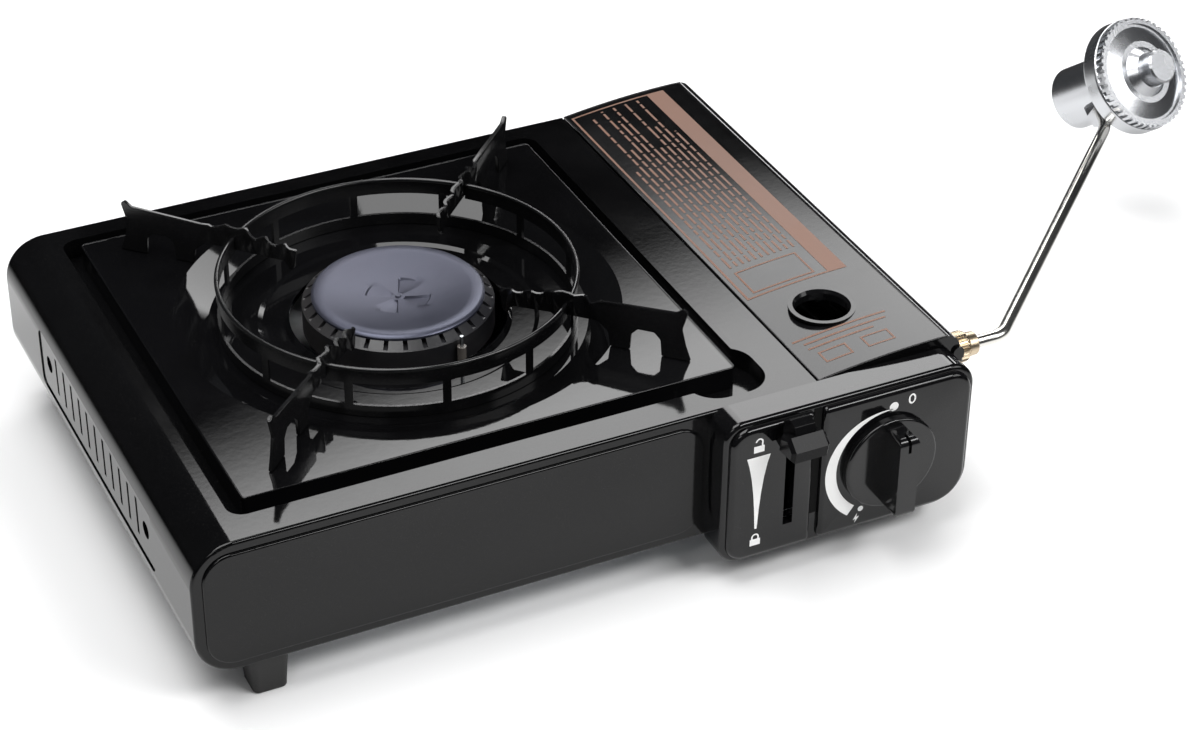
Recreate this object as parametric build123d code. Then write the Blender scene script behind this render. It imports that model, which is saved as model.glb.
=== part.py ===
from build123d import *
from math import atan2, cos, degrees, hypot, pi, radians, sin
import os

# Cassette stove for a butane cartridge, with a side inlet for a bottle regulator.
# Millimetres, +Z up, +Y to the back. The origin is on the table, under the middle of the front left foot.
# Places with a name of their own are measured from the case's left, front, bottom corner.

# Case
CASE_W = 342.0
CASE_D = 248.0
CASE_H = 61.3
CORNER_R = 18.0            # rounded left and right ends of the case, seen from the front
LID_SEAT_R = 2.0           # corner under the lid's roll
EDGE_R = 1.4               # bend between the front or rear face and the wrap
SHEET = 1.0
FOOT_H = 18.0
FOOT_W = 16.5
FOOT_DRAFT = 1.2
FOOT_X = 22.0              # outer side of a foot, from the side of the case
FOOT_Y = 1.8
FIELD_INSET = 4.5          # border round the embossed front field
FIELD_RIGHT = CASE_W - 123.0
FIELD_R = 12.0
FIELD_RAISE = 1.2

# Left side vents
VENT_SLOTS = 11
VENT_PITCH = 10.8
VENT_Y = CASE_D / 2 - 56.0
VENT_Z = CASE_H - 27.4
VENT_W = 2.4
VENT_H = 18.0
VENT_HOLE_R = 3.8
VENT_FIELD = (VENT_Y - 21.0, VENT_Y + 131.0, VENT_Z - 15.4, VENT_Z + 12.1)
VENT_FIELD_DEPTH = 0.5
REAR_SLOTS = 9
BASE_SLOT_PITCH = 30.0
BASE_SLOT_L = 22.0
BASE_SLOT_W = 5.0
REAR_SLOT_X = 0.24 * CASE_W
BAY_SLOTS = 7
BAY_SLOT_Y = 0.484 * CASE_D  # Well in the deck and the drip tray that lies in it
WELL = (22.8, CASE_W - 91.0, 15.1, CASE_D - 11.0)
WELL_R = 7.0
WELL_DEPTH = 9.0
SHELF_W = 16.0
NOTCH = (CASE_W - 121.0, CASE_W - 86.3, 6.8, 41.0)  # finger notch at the front right corner of the well
NOTCH_R = 13.0
TRAY = (WELL[0] + 7.5, WELL[1] - 5.5, WELL[2] + 8.4, WELL[3] - 7.0)
TRAY_R = 2.0
TRAY_RISE = 1.0            # tray surface above the deck
TRAY_SHEET = 1.0
TRAY_GAP = 0.3             # tray skirt above the shelf
BOWL_R = 95.5
BOWL_FLOOR_R = 81.0
BOWL_DEPTH = 6.0
BOWL_STEP_R = 60.0
BOWL_STEP = 1.0
COLLAR_RISE = 2.5

# Burner
BURNER_X = CASE_W - 203.6
BURNER_Y = CASE_D / 2 + 3.5
HEAD_R = 41.0
HEAD_Z = CASE_H + 3.0
HEAD_FOOT_Z = 44.0
CAP_R = 37.0
CAP_T = 2.0
CAP_RISE = 3.0             # cap's underside above the shoulder of the head
PETAL_R = 9.5              # from the middle of the cap to the middle of a petal
PETAL_L = 9.0
PETAL_W = 5.0
PETAL_DEEP = 0.6
CUP_R = 34.0
CUP_Z = 8.0
CAST_WALL = 3.0
PORTS = 30
PORT_W = 2.0
TRAY_HOLE_GAP = 5.5

# Pan support
RING_R = 76.6
RING_SHEET = 1.2
RING_TOP = 17.5            # above the deck
WINDOW_LOW = 0.5
WINDOW_HIGH = 11.0
WINDOWS = 12
POST_TURN = 22.5                    # angle of one post from the stove's right, degrees
POST_W = 4.0
ARM_T = 1.8
ARM_SLOT_GAP = 0.1
ARM_FOOT_GAP = 0.3

# Lid and its hinge
LID_LEFT = CASE_W - 69.6
LID_GAP = 0.8
LID_END_GAP = 0.3
LID_LOW = CASE_H + 0.2  # outer surface at the left edge
LID_HIGH = CASE_H + 5.2  # outer surface at the crown
LID_ROLL_R = 8.0
LID_RIGHT_GAP = 0.5        # lid's right side inside the case wall
LID_SKIRT_Z = CASE_H - 5.3
RIM_Z = CASE_H - 5.9  # top edge of the case walls round the bay
HINGE_IN = 2.7             # hinge axis inside the case's right side
HINGE_Z = CASE_H - 4.0
HINGE_PIN_R = 1.2
HINGE_PLAY = 0.06
LUG_R = 2.2
EAR_R = 2.6
PIN_L = 2.0
FINGER_X = CASE_W - 43.5
FINGER_Y = 45.5
FINGER_R = 11.5
FINGER_RIM = 3.0
LEDGE_W = 5.0

# Control housing and panels
HOUSING_X0 = CASE_W - 121.5
HOUSING_X1 = CASE_W - 3.5
HOUSING_Z0 = -7.0
HOUSING_Z1 = CASE_H + 1.3
HOUSING_D = 14.5
HOUSING_WALL = 2.0
HOUSING_EDGE = 2.0
PANEL_T = 2.5
PANEL_BEVEL = 1.5
PANEL_MARGIN = 2.3
LOCK_X1 = CASE_W - 80.4
KNOB_X0 = CASE_W - 76.8
SLOT_X0 = CASE_W - 94.0
SLOT_X1 = CASE_W - 89.6
SLOT_Z0 = 8.0
SLOT_Z1 = CASE_H - 1.3  # Knob, stem, striker
KNOB_X = CASE_W - 45.2
KNOB_Z = 26.8
KNOB_R = 21.5
KNOB_DISC = 3.6
KNOB_GAP = 0.3
FIN_W = 9.3
FIN_L = 40.0
FIN_H = 12.5
FIN_SLIT_W = 1.4
FIN_SLIT_L = 7.0
STEM_R = 3.0
STEM_PLAY = 0.05
STEM_IN_KNOB = 9.0
CAM_R0 = 8.0
CAM_RISE = 4.0
CAM_TURN = 150.0
CAM_T = 3.0
CAM_Y = -8.0
STRIKER_R = 2.0
STRIKER_GAP = 0.3
PIEZO_R = 4.6
PIEZO_X0 = KNOB_X + 15.2
PIEZO_X1 = KNOB_X + 37.2  # Lever and carriage
LEVER_T = 3.6
LEVER_TRAVEL = 36.0
LEVER_Z = CASE_H - 14.8  # underside of the arm at rest
LEVER_ARM_H = 10.0
LEVER_PIN_R = 2.0
LEVER_PIN_Y = 14.0
LEVER_PIN_Z = CASE_H - 17.8
LEVER_LEG_Z = (CASE_H - 21.3, CASE_H - 11.0)
LEVER_BAR_BACK = 5.0
LEVER_BACK = 18.0
GRIP_W = 17.5
CARRIAGE_TRAVEL = 6.0
CARRIAGE_T = 1.2
CARRIAGE_Z = (23.0, 37.0)
CARRIAGE_FRONT_Y = (8.5, 24.3)
CARRIAGE_GAP = 0.3
CARRIAGE_SLOT_GAP = 0.1
PUSHER_Y = CASE_D - 16.0
PUSHER_T = 1.5

# Cartridge bay
CAN_X = CASE_W - 37.5
CAN_Z = 29.5
CAN_R = 33.2
TROUGH_GAP = 1.5
TROUGH = (46.0, CASE_D - 20.0)
TROUGH_CUT = 0.4           # case underside stands off the trough
SHIELD_X = CASE_W - 80.0
SHIELD_Y0 = 36.0
PAD_W = 12.0
PAD_YS = (72.0, CASE_D - 58.0)
SOCKET_Y = 30.0
SOCKET_T = 4.0
SOCKET_R = 22.5
SEAT_R = 19.3
SEAT_L = 5.0
NOZZLE_R = 8.0
NOZZLE_L = 6.0
NOZZLE_BORE_R = 4.2
SEAL_T = 1.5

# Valve, pipes, mixing tube
VALVE = (KNOB_X - 11.8, KNOB_X + 12.2, 3.0, 14.0, 39.0)   # x0, x1, y0, z0, z1
GAS_Z = 17.0
GAS_Y = 27.0
PIPE_R = 2.5
JET_X = SHIELD_X - 32.0
JET_Y = 52.0
JET_R = 4.5
JET_L = 12.0
MOUTH_R = 12.0
THROAT_R = 7.5
TUBE_END_R = 9.0
TUBE_WALL = 0.8

# Side inlet, adapter and regulator
INLET_Y = 19.5
INLET_Z = CASE_H - 16.3
INLET_R = 4.6
INLET_OUT = 9.0
INLET_FLANGE_R = 7.0
INLET_FLANGE_T = 2.0
NUT_AF = 14.0
NUT_L = 17.0
NUT_GAP = 0.05
ADAPTER_R = 2.9
ADAPTER_BORE_R = 2.1
ADAPTER_BENDS = (12.0, 38.0)        # bend radii along the middle of the pipe
ADAPTER_BEND_X = CASE_W + 32.0
ADAPTER_NEAR = (CASE_W + 179.0, 156.1)  # where the pipe turns a little towards the regulator
REG_FACE = (0.215, -0.762, 0.610)   # direction that the regulator's face looks
REG_CENTRE = (CASE_W + 191.3, 187.2, INLET_Z)  # where the neck's line meets the body's
REG_NECK_R = 6.0
REG_NECK_L = 24.0                   # from the middle of the body to the mouth of its neck
REG_BODY_R = 15.5
REG_BACK = 12.0                     # from the neck's line back to the bottle port
REG_DRUM_RISE = 25.0                # from the neck's line forward to the drum
REG_DRUM_R = 28.0
REG_DRUM_T = 9.0
REG_COVER_R = 27.4
REG_COVER_T = 4.0
REG_TEETH = 48
REG_TOOTH = 1.1
REG_BOSS_R = 8.4
REG_BOSS_BASE_R = 12.4
REG_BOSS_L = 12.0
PORT_R = 12.3
PORT_L = 13.0

# Ignition electrode and its wire
ELECTRODE_TURN = -75.0
ELECTRODE_R = 0.8
CERAMIC_R = 1.9
CERAMIC_GAP = 0.4
CLIP_Z = 38.0
WIRE_R = 1.2
WIRE_Z = 4.2
WIRE_HOLE_X = HOUSING_X0 + 7.5
WIRE_END_Z = 32.0

# Fasteners
SCREW_R = 1.5
SCREW_HEAD_R = 3.2
SCREW_HEAD_T = 1.6
SCREW_L = 6.0
SCREW_XS = (46.0, CASE_W - 106.0)
SCREW_YS = (12.0, CASE_D - 12.0)
SCREW_SPOTS = [(x, y) for x in SCREW_XS for y in SCREW_YS]

LEFT = -(FOOT_X + FOOT_W / 2)
FRONT = -(FOOT_Y + FOOT_W / 2)
UNDER = FOOT_H
TRAY_TOP = CASE_H + TRAY_RISE
SHELF_Z = CASE_H - WELL_DEPTH
BOWL_Z = TRAY_TOP - BOWL_DEPTH
HINGE_X = CASE_W - HINGE_IN
PANEL_FACE = -HOUSING_D - PANEL_T
SHIELD_T = SHEET
CARRIAGE_X = SHIELD_X + SHIELD_T + CARRIAGE_GAP
TROUGH_R = CAN_R + TROUGH_GAP


def spot(x, y, z):
    """A point given from the case's left, front, bottom corner."""
    return Vector(LEFT + x, FRONT + y, UNDER + z)


def along_y(face, y0, y1):
    plane = Plane(origin=spot(0, y1, 0), x_dir=(1, 0, 0), z_dir=(0, -1, 0))
    return extrude(plane * face, y1 - y0)


def along_x(face, x0, x1):
    plane = Plane(origin=spot(x0, 0, 0), x_dir=(0, 1, 0), z_dir=(1, 0, 0))
    return extrude(plane * face, x1 - x0)


def along_z(face, z0, z1):
    return extrude(Plane(origin=spot(0, 0, z0)) * face, z1 - z0)


def panel(a0, a1, b0, b1, r=0.0):
    """Flat outline between four edges, with rounded corners."""
    place = Pos((a0 + a1) / 2, (b0 + b1) / 2)
    if r > 0:
        return place * RectangleRounded(a1 - a0, b1 - b0, r)
    return place * Rectangle(a1 - a0, b1 - b0)


def block(x0, x1, y0, y1, z0, z1):
    return along_z(panel(x0, x1, y0, y1), z0, z1)


def rod_x(y, z, r, x0, x1):
    return along_x(Pos(y, z) * Circle(r), x0, x1)


def rod_y(x, z, r, y0, y1):
    return along_y(Pos(x, z) * Circle(r), y0, y1)


def rod_z(x, y, r, z0, z1):
    return along_z(Pos(x, y) * Circle(r), z0, z1)


def shape(points, radii=0.0):
    """Closed flat outline through the points, with one radius for all corners or a list."""
    with BuildLine() as line:
        FilletPolyline(*points, radius=radii, close=True)
    return make_face(line.line)


def tube(points, radius, bends, bore=0.0):
    """Round pipe along a path given from the case corner."""
    path = FilletPolyline(*[spot(*p) for p in points], radius=bends)
    plane = Plane(origin=path @ 0, z_dir=path % 0)
    solid = sweep(plane * Circle(radius), path=path)
    if bore > 0:
        solid -= sweep(plane * Circle(bore), path=path)
    return solid


# ---------------------------------------------------------------- case

def well_outline(grow):
    x0, x1, y0, y1 = WELL
    a0, a1, b0, b1 = NOTCH
    main = panel(x0 - grow, x1 + grow, y0 - grow, y1 + grow, WELL_R + grow)
    notch = panel(a0 - grow, a1 + grow, b0 - grow, b1 + grow, NOTCH_R + grow)
    return main + notch


def slot_row(count, pitch, start, z):
    """Upright slots in a row, in the plane of a side wall."""
    row = Sketch()
    for i in range(count):
        row += Pos(start + i * pitch, z) * Rectangle(VENT_W, VENT_H)
    return row


def case_outline(inset):
    """Section of the case; its fourth corner is square, because the lid's roll closes it."""
    x1 = CASE_W - inset
    z1 = CASE_H - inset
    r = CORNER_R - inset
    return shape([(inset, inset), (x1, inset), (x1, z1), (inset, z1)], [r, r, LID_SEAT_R - inset, r])


def case_shell():
    wrap = along_y(case_outline(0), 0, CASE_D)
    ends = wrap.faces().sort_by(Axis.Y)
    wrap = fillet(ends[0].edges() + ends[-1].edges(), EDGE_R)
    shell = wrap - along_y(case_outline(SHEET), SHEET, CASE_D - SHEET)
    # embossed field on the front
    field = (FIELD_INSET, FIELD_RIGHT, FIELD_INSET, CASE_H - FIELD_INSET)
    raised = along_y(panel(*field, FIELD_R), -FIELD_RAISE, SHEET)
    raised = fillet(raised.faces().sort_by(Axis.Y)[0].edges(), FIELD_RAISE * 0.8)
    pocket = panel(field[0] + SHEET, field[1] - SHEET, field[2] + SHEET, field[3] - SHEET,
                   FIELD_R - SHEET)
    shell = shell + raised - along_y(pocket, SHEET - FIELD_RAISE, SHEET)
    # well for the tray: wall, shelf and the opening over the burner
    shell -= along_z(well_outline(0), CASE_H - 2 * SHEET, CASE_H + 1)
    wall = along_z(well_outline(SHEET), SHELF_Z - SHEET, CASE_H - SHEET / 2)
    wall -= along_z(well_outline(0), SHELF_Z, CASE_H)
    x0, x1, y0, y1 = WELL
    hole = panel(x0 + SHELF_W, x1 - SHELF_W, y0 + SHELF_W, y1 - SHELF_W, WELL_R)
    wall -= along_z(hole, 0, CASE_H)
    shell += wall
    # cartridge bay: the deck and the top of the walls are open under the lid
    shell -= block(LID_LEFT - LID_GAP, CASE_W + 1, -1, CASE_D + 1, RIM_Z, CASE_H + 1)
    ear = Pos(HINGE_X, HINGE_Z) * Circle(EAR_R)
    ear += panel(HINGE_X - EAR_R, HINGE_X + EAR_R, RIM_Z - 1, HINGE_Z)
    shell += along_y(ear, 0, SHEET) + along_y(ear, CASE_D - SHEET, CASE_D)
    for y0, y1 in ((SHEET, SOCKET_Y + SOCKET_T), (PUSHER_Y + 3, CASE_D - SHEET)):
        web = LID_LEFT - LID_GAP - SHEET
        shell += block(web, web + SHEET, y0, y1, RIM_Z - SHEET, CASE_H - SHEET)
        shell += block(web, web + LEDGE_W, y0, y1, RIM_Z - SHEET, RIM_Z)
    # underside is open between the rolled sides
    shell -= block(CORNER_R + 3, CASE_W - CORNER_R - 3, SHEET, CASE_D - SHEET, -1, 2 * SHEET)
    around = rod_y(CAN_X, CAN_Z, TROUGH_R + SHEET + TROUGH_CUT, TROUGH[0] - TROUGH_CUT, TROUGH[1] + TROUGH_CUT)
    shell -= around & block(CAN_X, CASE_W, 0, CASE_D, -10, 3 * SHEET)
    # vents
    y0, y1, z0, z1 = VENT_FIELD
    back_pad = along_x(panel(y0, y1, z0, z1, 4), SHEET / 2, SHEET + VENT_FIELD_DEPTH)
    shell += back_pad
    shell -= along_x(panel(y0, y1, z0, z1, 4), -1, VENT_FIELD_DEPTH)
    slots = slot_row(VENT_SLOTS, VENT_PITCH, VENT_Y, VENT_Z)
    for y in (VENT_Y - VENT_PITCH, VENT_Y + VENT_SLOTS * VENT_PITCH):
        slots += Pos(y, VENT_Z) * Circle(VENT_HOLE_R)
    shell -= along_x(slots, -1, 3 * SHEET)
    rear = slot_row(REAR_SLOTS, 1.3 * VENT_PITCH, REAR_SLOT_X, VENT_Z)
    shell -= along_y(rear, CASE_D - 2 * SHEET, CASE_D + 1)
    bay = slot_row(BAY_SLOTS, 1.3 * VENT_PITCH, BAY_SLOT_Y, VENT_Z)
    shell -= along_x(bay, CASE_W - 2 * SHEET, CASE_W + 1)
    # openings for the stem, the lever and the side inlet
    shell -= rod_y(KNOB_X, KNOB_Z, STEM_R + 1, -1, 2)
    shell -= block(SLOT_X0, SLOT_X1, -1, 2, SLOT_Z0, SLOT_Z1 - 2)
    shell -= rod_x(INLET_Y, INLET_Z, INLET_R, CASE_W - 3, CASE_W + 1)
    shell -= rod_y(WIRE_HOLE_X, WIRE_Z, WIRE_R + 0.5, -1, 2)
    return shell


def base_plate():
    edge = CORNER_R + 0.3
    plate = block(edge, CASE_W - edge, SHEET + 0.3, CASE_D - SHEET - 0.3, SHEET, 2 * SHEET)
    outer = rod_y(CAN_X, CAN_Z, TROUGH_R + SHEET, *TROUGH)
    inner = rod_y(CAN_X, CAN_Z, TROUGH_R, TROUGH[0] + SHEET, TROUGH[1] - SHEET)
    keep = block(0, CASE_W, 0, CASE_D, -20, 2 * SHEET)
    plate = plate + (outer & keep) - inner
    for row in range(2):
        for i in range(5):
            x = BURNER_X + (i - 2) * BASE_SLOT_PITCH
            y = BURNER_Y + (2 * row - 1) * CASE_D / 4
            plate -= along_z(Pos(x, y) * SlotOverall(BASE_SLOT_L, BASE_SLOT_W), 0, 3)
    for x, y in SCREW_SPOTS:
        plate -= rod_z(x, y, SCREW_R + 0.1, 0, 3)
    return plate


def foot(x, y):
    bottom = Plane(origin=spot(x, y, -FOOT_H)) * RectangleRounded(
        FOOT_W - 2 * FOOT_DRAFT, FOOT_W - 2 * FOOT_DRAFT, 2.5)
    top = Plane(origin=spot(x, y, SHEET)) * RectangleRounded(FOOT_W, FOOT_W, 3.0)
    pad = loft([bottom, top])
    return fillet(pad.faces().sort_by(Axis.Z)[0].edges(), 1.0)


def heat_shield():
    z1 = CASE_H - SHEET
    y1 = CASE_D - SHEET - 0.3
    wall = block(SHIELD_X, SHIELD_X + SHIELD_T, SHIELD_Y0, y1, 2 * SHEET, z1)
    flange = block(SHIELD_X - 10, SHIELD_X, SHIELD_Y0, y1, 2 * SHEET, 3 * SHEET)
    shield = wall + flange
    for i in range(6):
        y = CASE_D / 2 + (i - 2) * 26
        hole = Pos(y, CASE_H - 14.3) * SlotOverall(16, BASE_SLOT_W)
        shield -= along_x(hole, SHIELD_X - 1, SHIELD_X + 2)
    return shield


def base_screws():
    group = []
    for x, y in SCREW_SPOTS:
        head = rod_z(x, y, SCREW_HEAD_R, SHEET - SCREW_HEAD_T, SHEET)
        group.append(head + rod_z(x, y, SCREW_R, SHEET, SHEET + SCREW_L))
    return Compound(children=group)


# ---------------------------------------------------------------- tray and pan support

def drip_tray():
    t = TRAY_SHEET
    skirt_foot = SHELF_Z + TRAY_GAP
    tray = along_z(panel(*TRAY, TRAY_R), skirt_foot, TRAY_TOP)
    x0, x1, y0, y1 = TRAY
    inside = panel(x0 + t, x1 - t, y0 + t, y1 - t, TRAY_R - t / 2)
    tray -= along_z(inside, skirt_foot - 1, TRAY_TOP - t)
    tray -= rod_z(BURNER_X, BURNER_Y, BOWL_R, skirt_foot - 1, TRAY_TOP + 1)
    collar_r = HEAD_R + TRAY_HOLE_GAP
    top = [(BOWL_R, TRAY_TOP), (BOWL_FLOOR_R, BOWL_Z), (BOWL_STEP_R, BOWL_Z),
           (BOWL_STEP_R - 2, BOWL_Z - BOWL_STEP), (collar_r + 2, BOWL_Z - BOWL_STEP),
           (collar_r, BOWL_Z - BOWL_STEP + COLLAR_RISE)]
    low = [(r, z - t) for r, z in top]
    low[0] = (BOWL_R, TRAY_TOP - t)
    low[-1] = (collar_r, BOWL_Z - BOWL_STEP)
    low[-2] = (collar_r + 1, BOWL_Z - BOWL_STEP - t)
    with BuildLine() as line:
        Polyline(*top, *reversed(low), close=True)
    section = make_face(line.line)
    plane = Plane(origin=spot(BURNER_X, BURNER_Y, 0), x_dir=(1, 0, 0), z_dir=(0, -1, 0))
    bowl = revolve(plane * section, axis=Axis(spot(BURNER_X, BURNER_Y, 0), (0, 0, 1)))
    return tray + bowl


def support_ring():
    inner_r = RING_R - RING_SHEET
    low = BOWL_Z + ARM_FOOT_GAP
    ring = rod_z(BURNER_X, BURNER_Y, RING_R, low, CASE_H + RING_TOP)
    ring -= rod_z(BURNER_X, BURNER_Y, inner_r, low - 1, CASE_H + RING_TOP + 1)
    bead = Pos(*spot(BURNER_X, BURNER_Y, CASE_H + RING_TOP)) * Torus(RING_R - RING_SHEET / 2, 1.0)
    ring += bead
    width = 2 * pi * RING_R / WINDOWS - POST_W
    for i in range(WINDOWS):
        turn = Rot(0, 0, 360 / WINDOWS * (i + 0.5) + POST_TURN)
        cut = Pos(RING_R, 0, CASE_H + (WINDOW_LOW + WINDOW_HIGH) / 2)
        cut *= Box(12, width, WINDOW_HIGH - WINDOW_LOW)
        ring -= Pos(*spot(BURNER_X, BURNER_Y, 0)) * turn * cut
    for i in range(4):
        slot = Pos(RING_R, 0, CASE_H + RING_TOP) * Box(12, ARM_T + 2 * ARM_SLOT_GAP, 15)
        ring -= Pos(*spot(BURNER_X, BURNER_Y, 0)) * Rot(0, 0, 45 + 90 * i) * slot
    return ring


def support_arm(quarter):
    """One pan-support arm: toothed inner finger, straight outer edge with a nib, two legs."""
    foot_z = TRAY_RISE + ARM_FOOT_GAP
    top = [(46.5, 17.5), (52, 19.6), (56, 18.4), (61, 21.0), (65, 19.8), (70, 23.0), (80, 23.0),
           (84, 22.6), (86.5, 20.8), (91, 22.0), (124, 23.6), (127, 26.0), (129.0, 24.6)]
    outer = [(126.5, 15.5), (128.2, 8.0), (130.5, foot_z)]
    legs = [(118, foot_z), (117.4, 9.0), (114.6, 12.0), (107.4, 12.0), (104.6, 9.0), (104, foot_z)]
    inner = [(95.5, foot_z), (94.6, 8.0), (90.0, 12.4), (78.0, 12.4), (52.0, 11.4), (49.5, 7.2),
             (47.6, 9.0)]
    with BuildLine() as line:
        Polyline(*top, *outer, *legs, *inner, close=True)
    section = make_face(line.line)
    plane = Plane(origin=(0, ARM_T / 2, 0), x_dir=(1, 0, 0), z_dir=(0, -1, 0))
    arm = extrude(plane * section, ARM_T)
    return Pos(*spot(BURNER_X, BURNER_Y, CASE_H)) * Rot(0, 0, 45 + 90 * quarter) * arm


# ---------------------------------------------------------------- burner

def burner_ring(points):
    """Body of revolution about the burner's axis, from (radius, height) points."""
    with BuildLine() as line:
        Polyline(*points, close=True)
    plane = Plane(origin=spot(BURNER_X, BURNER_Y, 0), x_dir=(1, 0, 0), z_dir=(0, -1, 0))
    return revolve(plane * make_face(line.line), axis=Axis(spot(BURNER_X, BURNER_Y, 0), (0, 0, 1)))


def burner_axis():
    """Plane at the jet, looking along the mixing tube to the burner."""
    aim = Vector(BURNER_X - JET_X, BURNER_Y - JET_Y, 0)
    return Plane(origin=spot(JET_X, JET_Y, GAS_Z), z_dir=aim)


def mixing_length():
    return hypot(BURNER_X - JET_X, BURNER_Y - JET_Y)


def burner_base():
    w = CAST_WALL
    cup = burner_ring([(0, CUP_Z), (CUP_R - 6, CUP_Z), (CUP_R, CUP_Z + 6), (CUP_R, HEAD_FOOT_Z),
                       (CUP_R - w, HEAD_FOOT_Z), (CUP_R - w, CUP_Z + 7), (CUP_R - 7, CUP_Z + w),
                       (0, CUP_Z + w)])
    boss = burner_axis() * Pos(0, 0, mixing_length() - CUP_R + 1)
    cup += boss * Cylinder(TUBE_END_R + TUBE_WALL + 2, 10, align=(Align.CENTER, Align.CENTER, Align.MAX))
    cup -= burner_axis() * Pos(0, 0, mixing_length() - CUP_R - 12) * Cylinder(
        TUBE_END_R, 24, align=(Align.CENTER, Align.CENTER, Align.MIN))
    cup -= burner_axis() * Pos(0, 0, mixing_length() - CUP_R - 12) * Cylinder(
        TUBE_END_R + TUBE_WALL, 9, align=(Align.CENTER, Align.CENTER, Align.MIN))
    return cup


def burner_head():
    head = burner_ring([(CUP_R - 6, HEAD_FOOT_Z), (CUP_R + 1, HEAD_FOOT_Z), (HEAD_R, HEAD_FOOT_Z + 9),
                        (HEAD_R, HEAD_Z), (CAP_R, HEAD_Z + CAP_RISE), (CAP_R - 6, HEAD_Z + CAP_RISE)])
    for i in range(PORTS):
        port = Pos(HEAD_R, 0, HEAD_Z + CAP_RISE) * Box(12, PORT_W, 5)
        head -= Pos(*spot(BURNER_X, BURNER_Y, 0)) * Rot(0, 0, 360 / PORTS * i) * port
    return head


def burner_cap():
    """Round lid of the burner with four petals stamped in its top."""
    z = HEAD_Z + CAP_RISE
    cap = rod_z(BURNER_X, BURNER_Y, CAP_R, z, z + CAP_T)
    cap = chamfer(cap.edges().sort_by(Axis.Z)[-1], 0.8, 1.5)
    for i in range(4):
        petal = Rot(0, 0, 45 + 90 * i) * Pos(PETAL_R, 0) * RectangleRounded(PETAL_L, PETAL_W, PETAL_W / 2.2)
        cap -= along_z(Pos(BURNER_X, BURNER_Y) * petal, z + CAP_T - PETAL_DEEP, z + CAP_T + 1)
    return cap


def mixing_tube():
    reach = mixing_length() - CUP_R - 4
    w = TUBE_WALL
    outside = [(MOUTH_R, 0), (MOUTH_R, 4), (THROAT_R + w, 20), (TUBE_END_R + w, 60), (TUBE_END_R + w, reach)]
    inside = [(TUBE_END_R, reach), (TUBE_END_R, 60), (THROAT_R, 20), (MOUTH_R - w, 4), (MOUTH_R - w, 0)]
    with BuildLine() as line:
        Polyline(*outside, *inside, close=True)
    section = Plane.XZ * make_face(line.line)
    return burner_axis() * revolve(section, axis=Axis.Z)


def jet_carrier():
    """Spoked disc that holds the jet in the mouth of the mixing tube."""
    disc = Circle(MOUTH_R) - Circle(JET_R)
    for i in range(3):
        window = Pos(8.2, 0) * Rectangle(3.4, 8)
        disc -= Rot(0, 0, 120 * i) * window
    return burner_axis() * Pos(0, 0, -SHEET) * extrude(disc, SHEET)


def gas_jet():
    body = Cylinder(JET_R, JET_L, align=(Align.CENTER, Align.CENTER, Align.MAX))
    tip = Pos(0, 0, 0) * Cone(JET_R, 2, 4, align=(Align.CENTER, Align.CENTER, Align.MIN))
    jet = Pos(0, 0, 1) * body + Pos(0, 0, 1) * tip
    jet -= Pos(0, 0, -JET_L) * Cylinder(0.8, 3 * JET_L)
    return burner_axis() * jet


def gas_pipe():
    aim = Vector(BURNER_X - JET_X, BURNER_Y - JET_Y, 0).normalized()
    back = (JET_Y - GAS_Y) / aim.Y
    corner = (JET_X - aim.X * back, GAS_Y, GAS_Z)
    end = (JET_X - aim.X * (JET_L - 1), JET_Y - aim.Y * (JET_L - 1), GAS_Z)
    return tube([(VALVE[0], GAS_Y, GAS_Z), corner, end], PIPE_R, 14)


def burner_bracket():
    """Folded strap under the burner, spot-welded to the base plate."""
    z0 = 2 * SHEET
    half = CUP_R - 8
    strap = block(BURNER_X - half, BURNER_X + half, BURNER_Y - 9, BURNER_Y + 9, CUP_Z - SHEET, CUP_Z)
    for side in (-1, 1):
        x = BURNER_X + side * half
        lo, hi = sorted((x, x - side * SHEET))
        strap += block(lo, hi, BURNER_Y - 9, BURNER_Y + 9, z0, CUP_Z)
        lo, hi = sorted((x, x + side * 9))
        strap += block(lo, hi, BURNER_Y - 9, BURNER_Y + 9, z0, z0 + SHEET)
    return strap


# ---------------------------------------------------------------- cartridge bay

def can_saddles():
    pads = []
    keep = block(CAN_X - 17, CAN_X + 17, 0, CASE_D, -20, SHEET)
    for y in PAD_YS:
        pad = rod_y(CAN_X, CAN_Z, TROUGH_R, y, y + PAD_W) - rod_y(CAN_X, CAN_Z, CAN_R + 0.5, y - 1, y + PAD_W + 1)
        pads.append(pad & keep)
    return Compound(children=[s for p in pads for s in p.solids()])


def valve_body():
    x0, x1, y0, z0, z1 = VALVE
    body = along_y(panel(x0, x1, z0, z1, 4), y0, SOCKET_Y)
    flange = along_y(panel(x0 - 5, x1 + 5, z0, z1, 4), SHEET, y0)
    body += flange
    body -= rod_y(KNOB_X, KNOB_Z, STEM_R + STEM_PLAY, 0, y0 + 12)
    body += rod_x(INLET_Y, 28, 4.5, x1, x1 + 4)
    return body


def cartridge_socket():
    y0 = SOCKET_Y
    y1 = y0 + SOCKET_T
    seat = rod_y(CAN_X, CAN_Z, SOCKET_R, y0, y1 + SEAT_L) - rod_y(CAN_X, CAN_Z, SEAT_R, y1, y1 + SEAT_L + 1)
    nozzle = rod_y(CAN_X, CAN_Z, NOZZLE_R, y1, y1 + NOZZLE_L)
    nozzle -= rod_y(CAN_X, CAN_Z, NOZZLE_BORE_R, y1, y1 + NOZZLE_L + 1)
    # key that the cartridge's notch has to meet, at the top of the seat
    key = block(CAN_X - 3, CAN_X + 3, y1, y1 + SEAT_L + 4, CAN_Z + SEAT_R - 2.5, CAN_Z + SEAT_R + 1)
    return seat + nozzle + key


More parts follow.
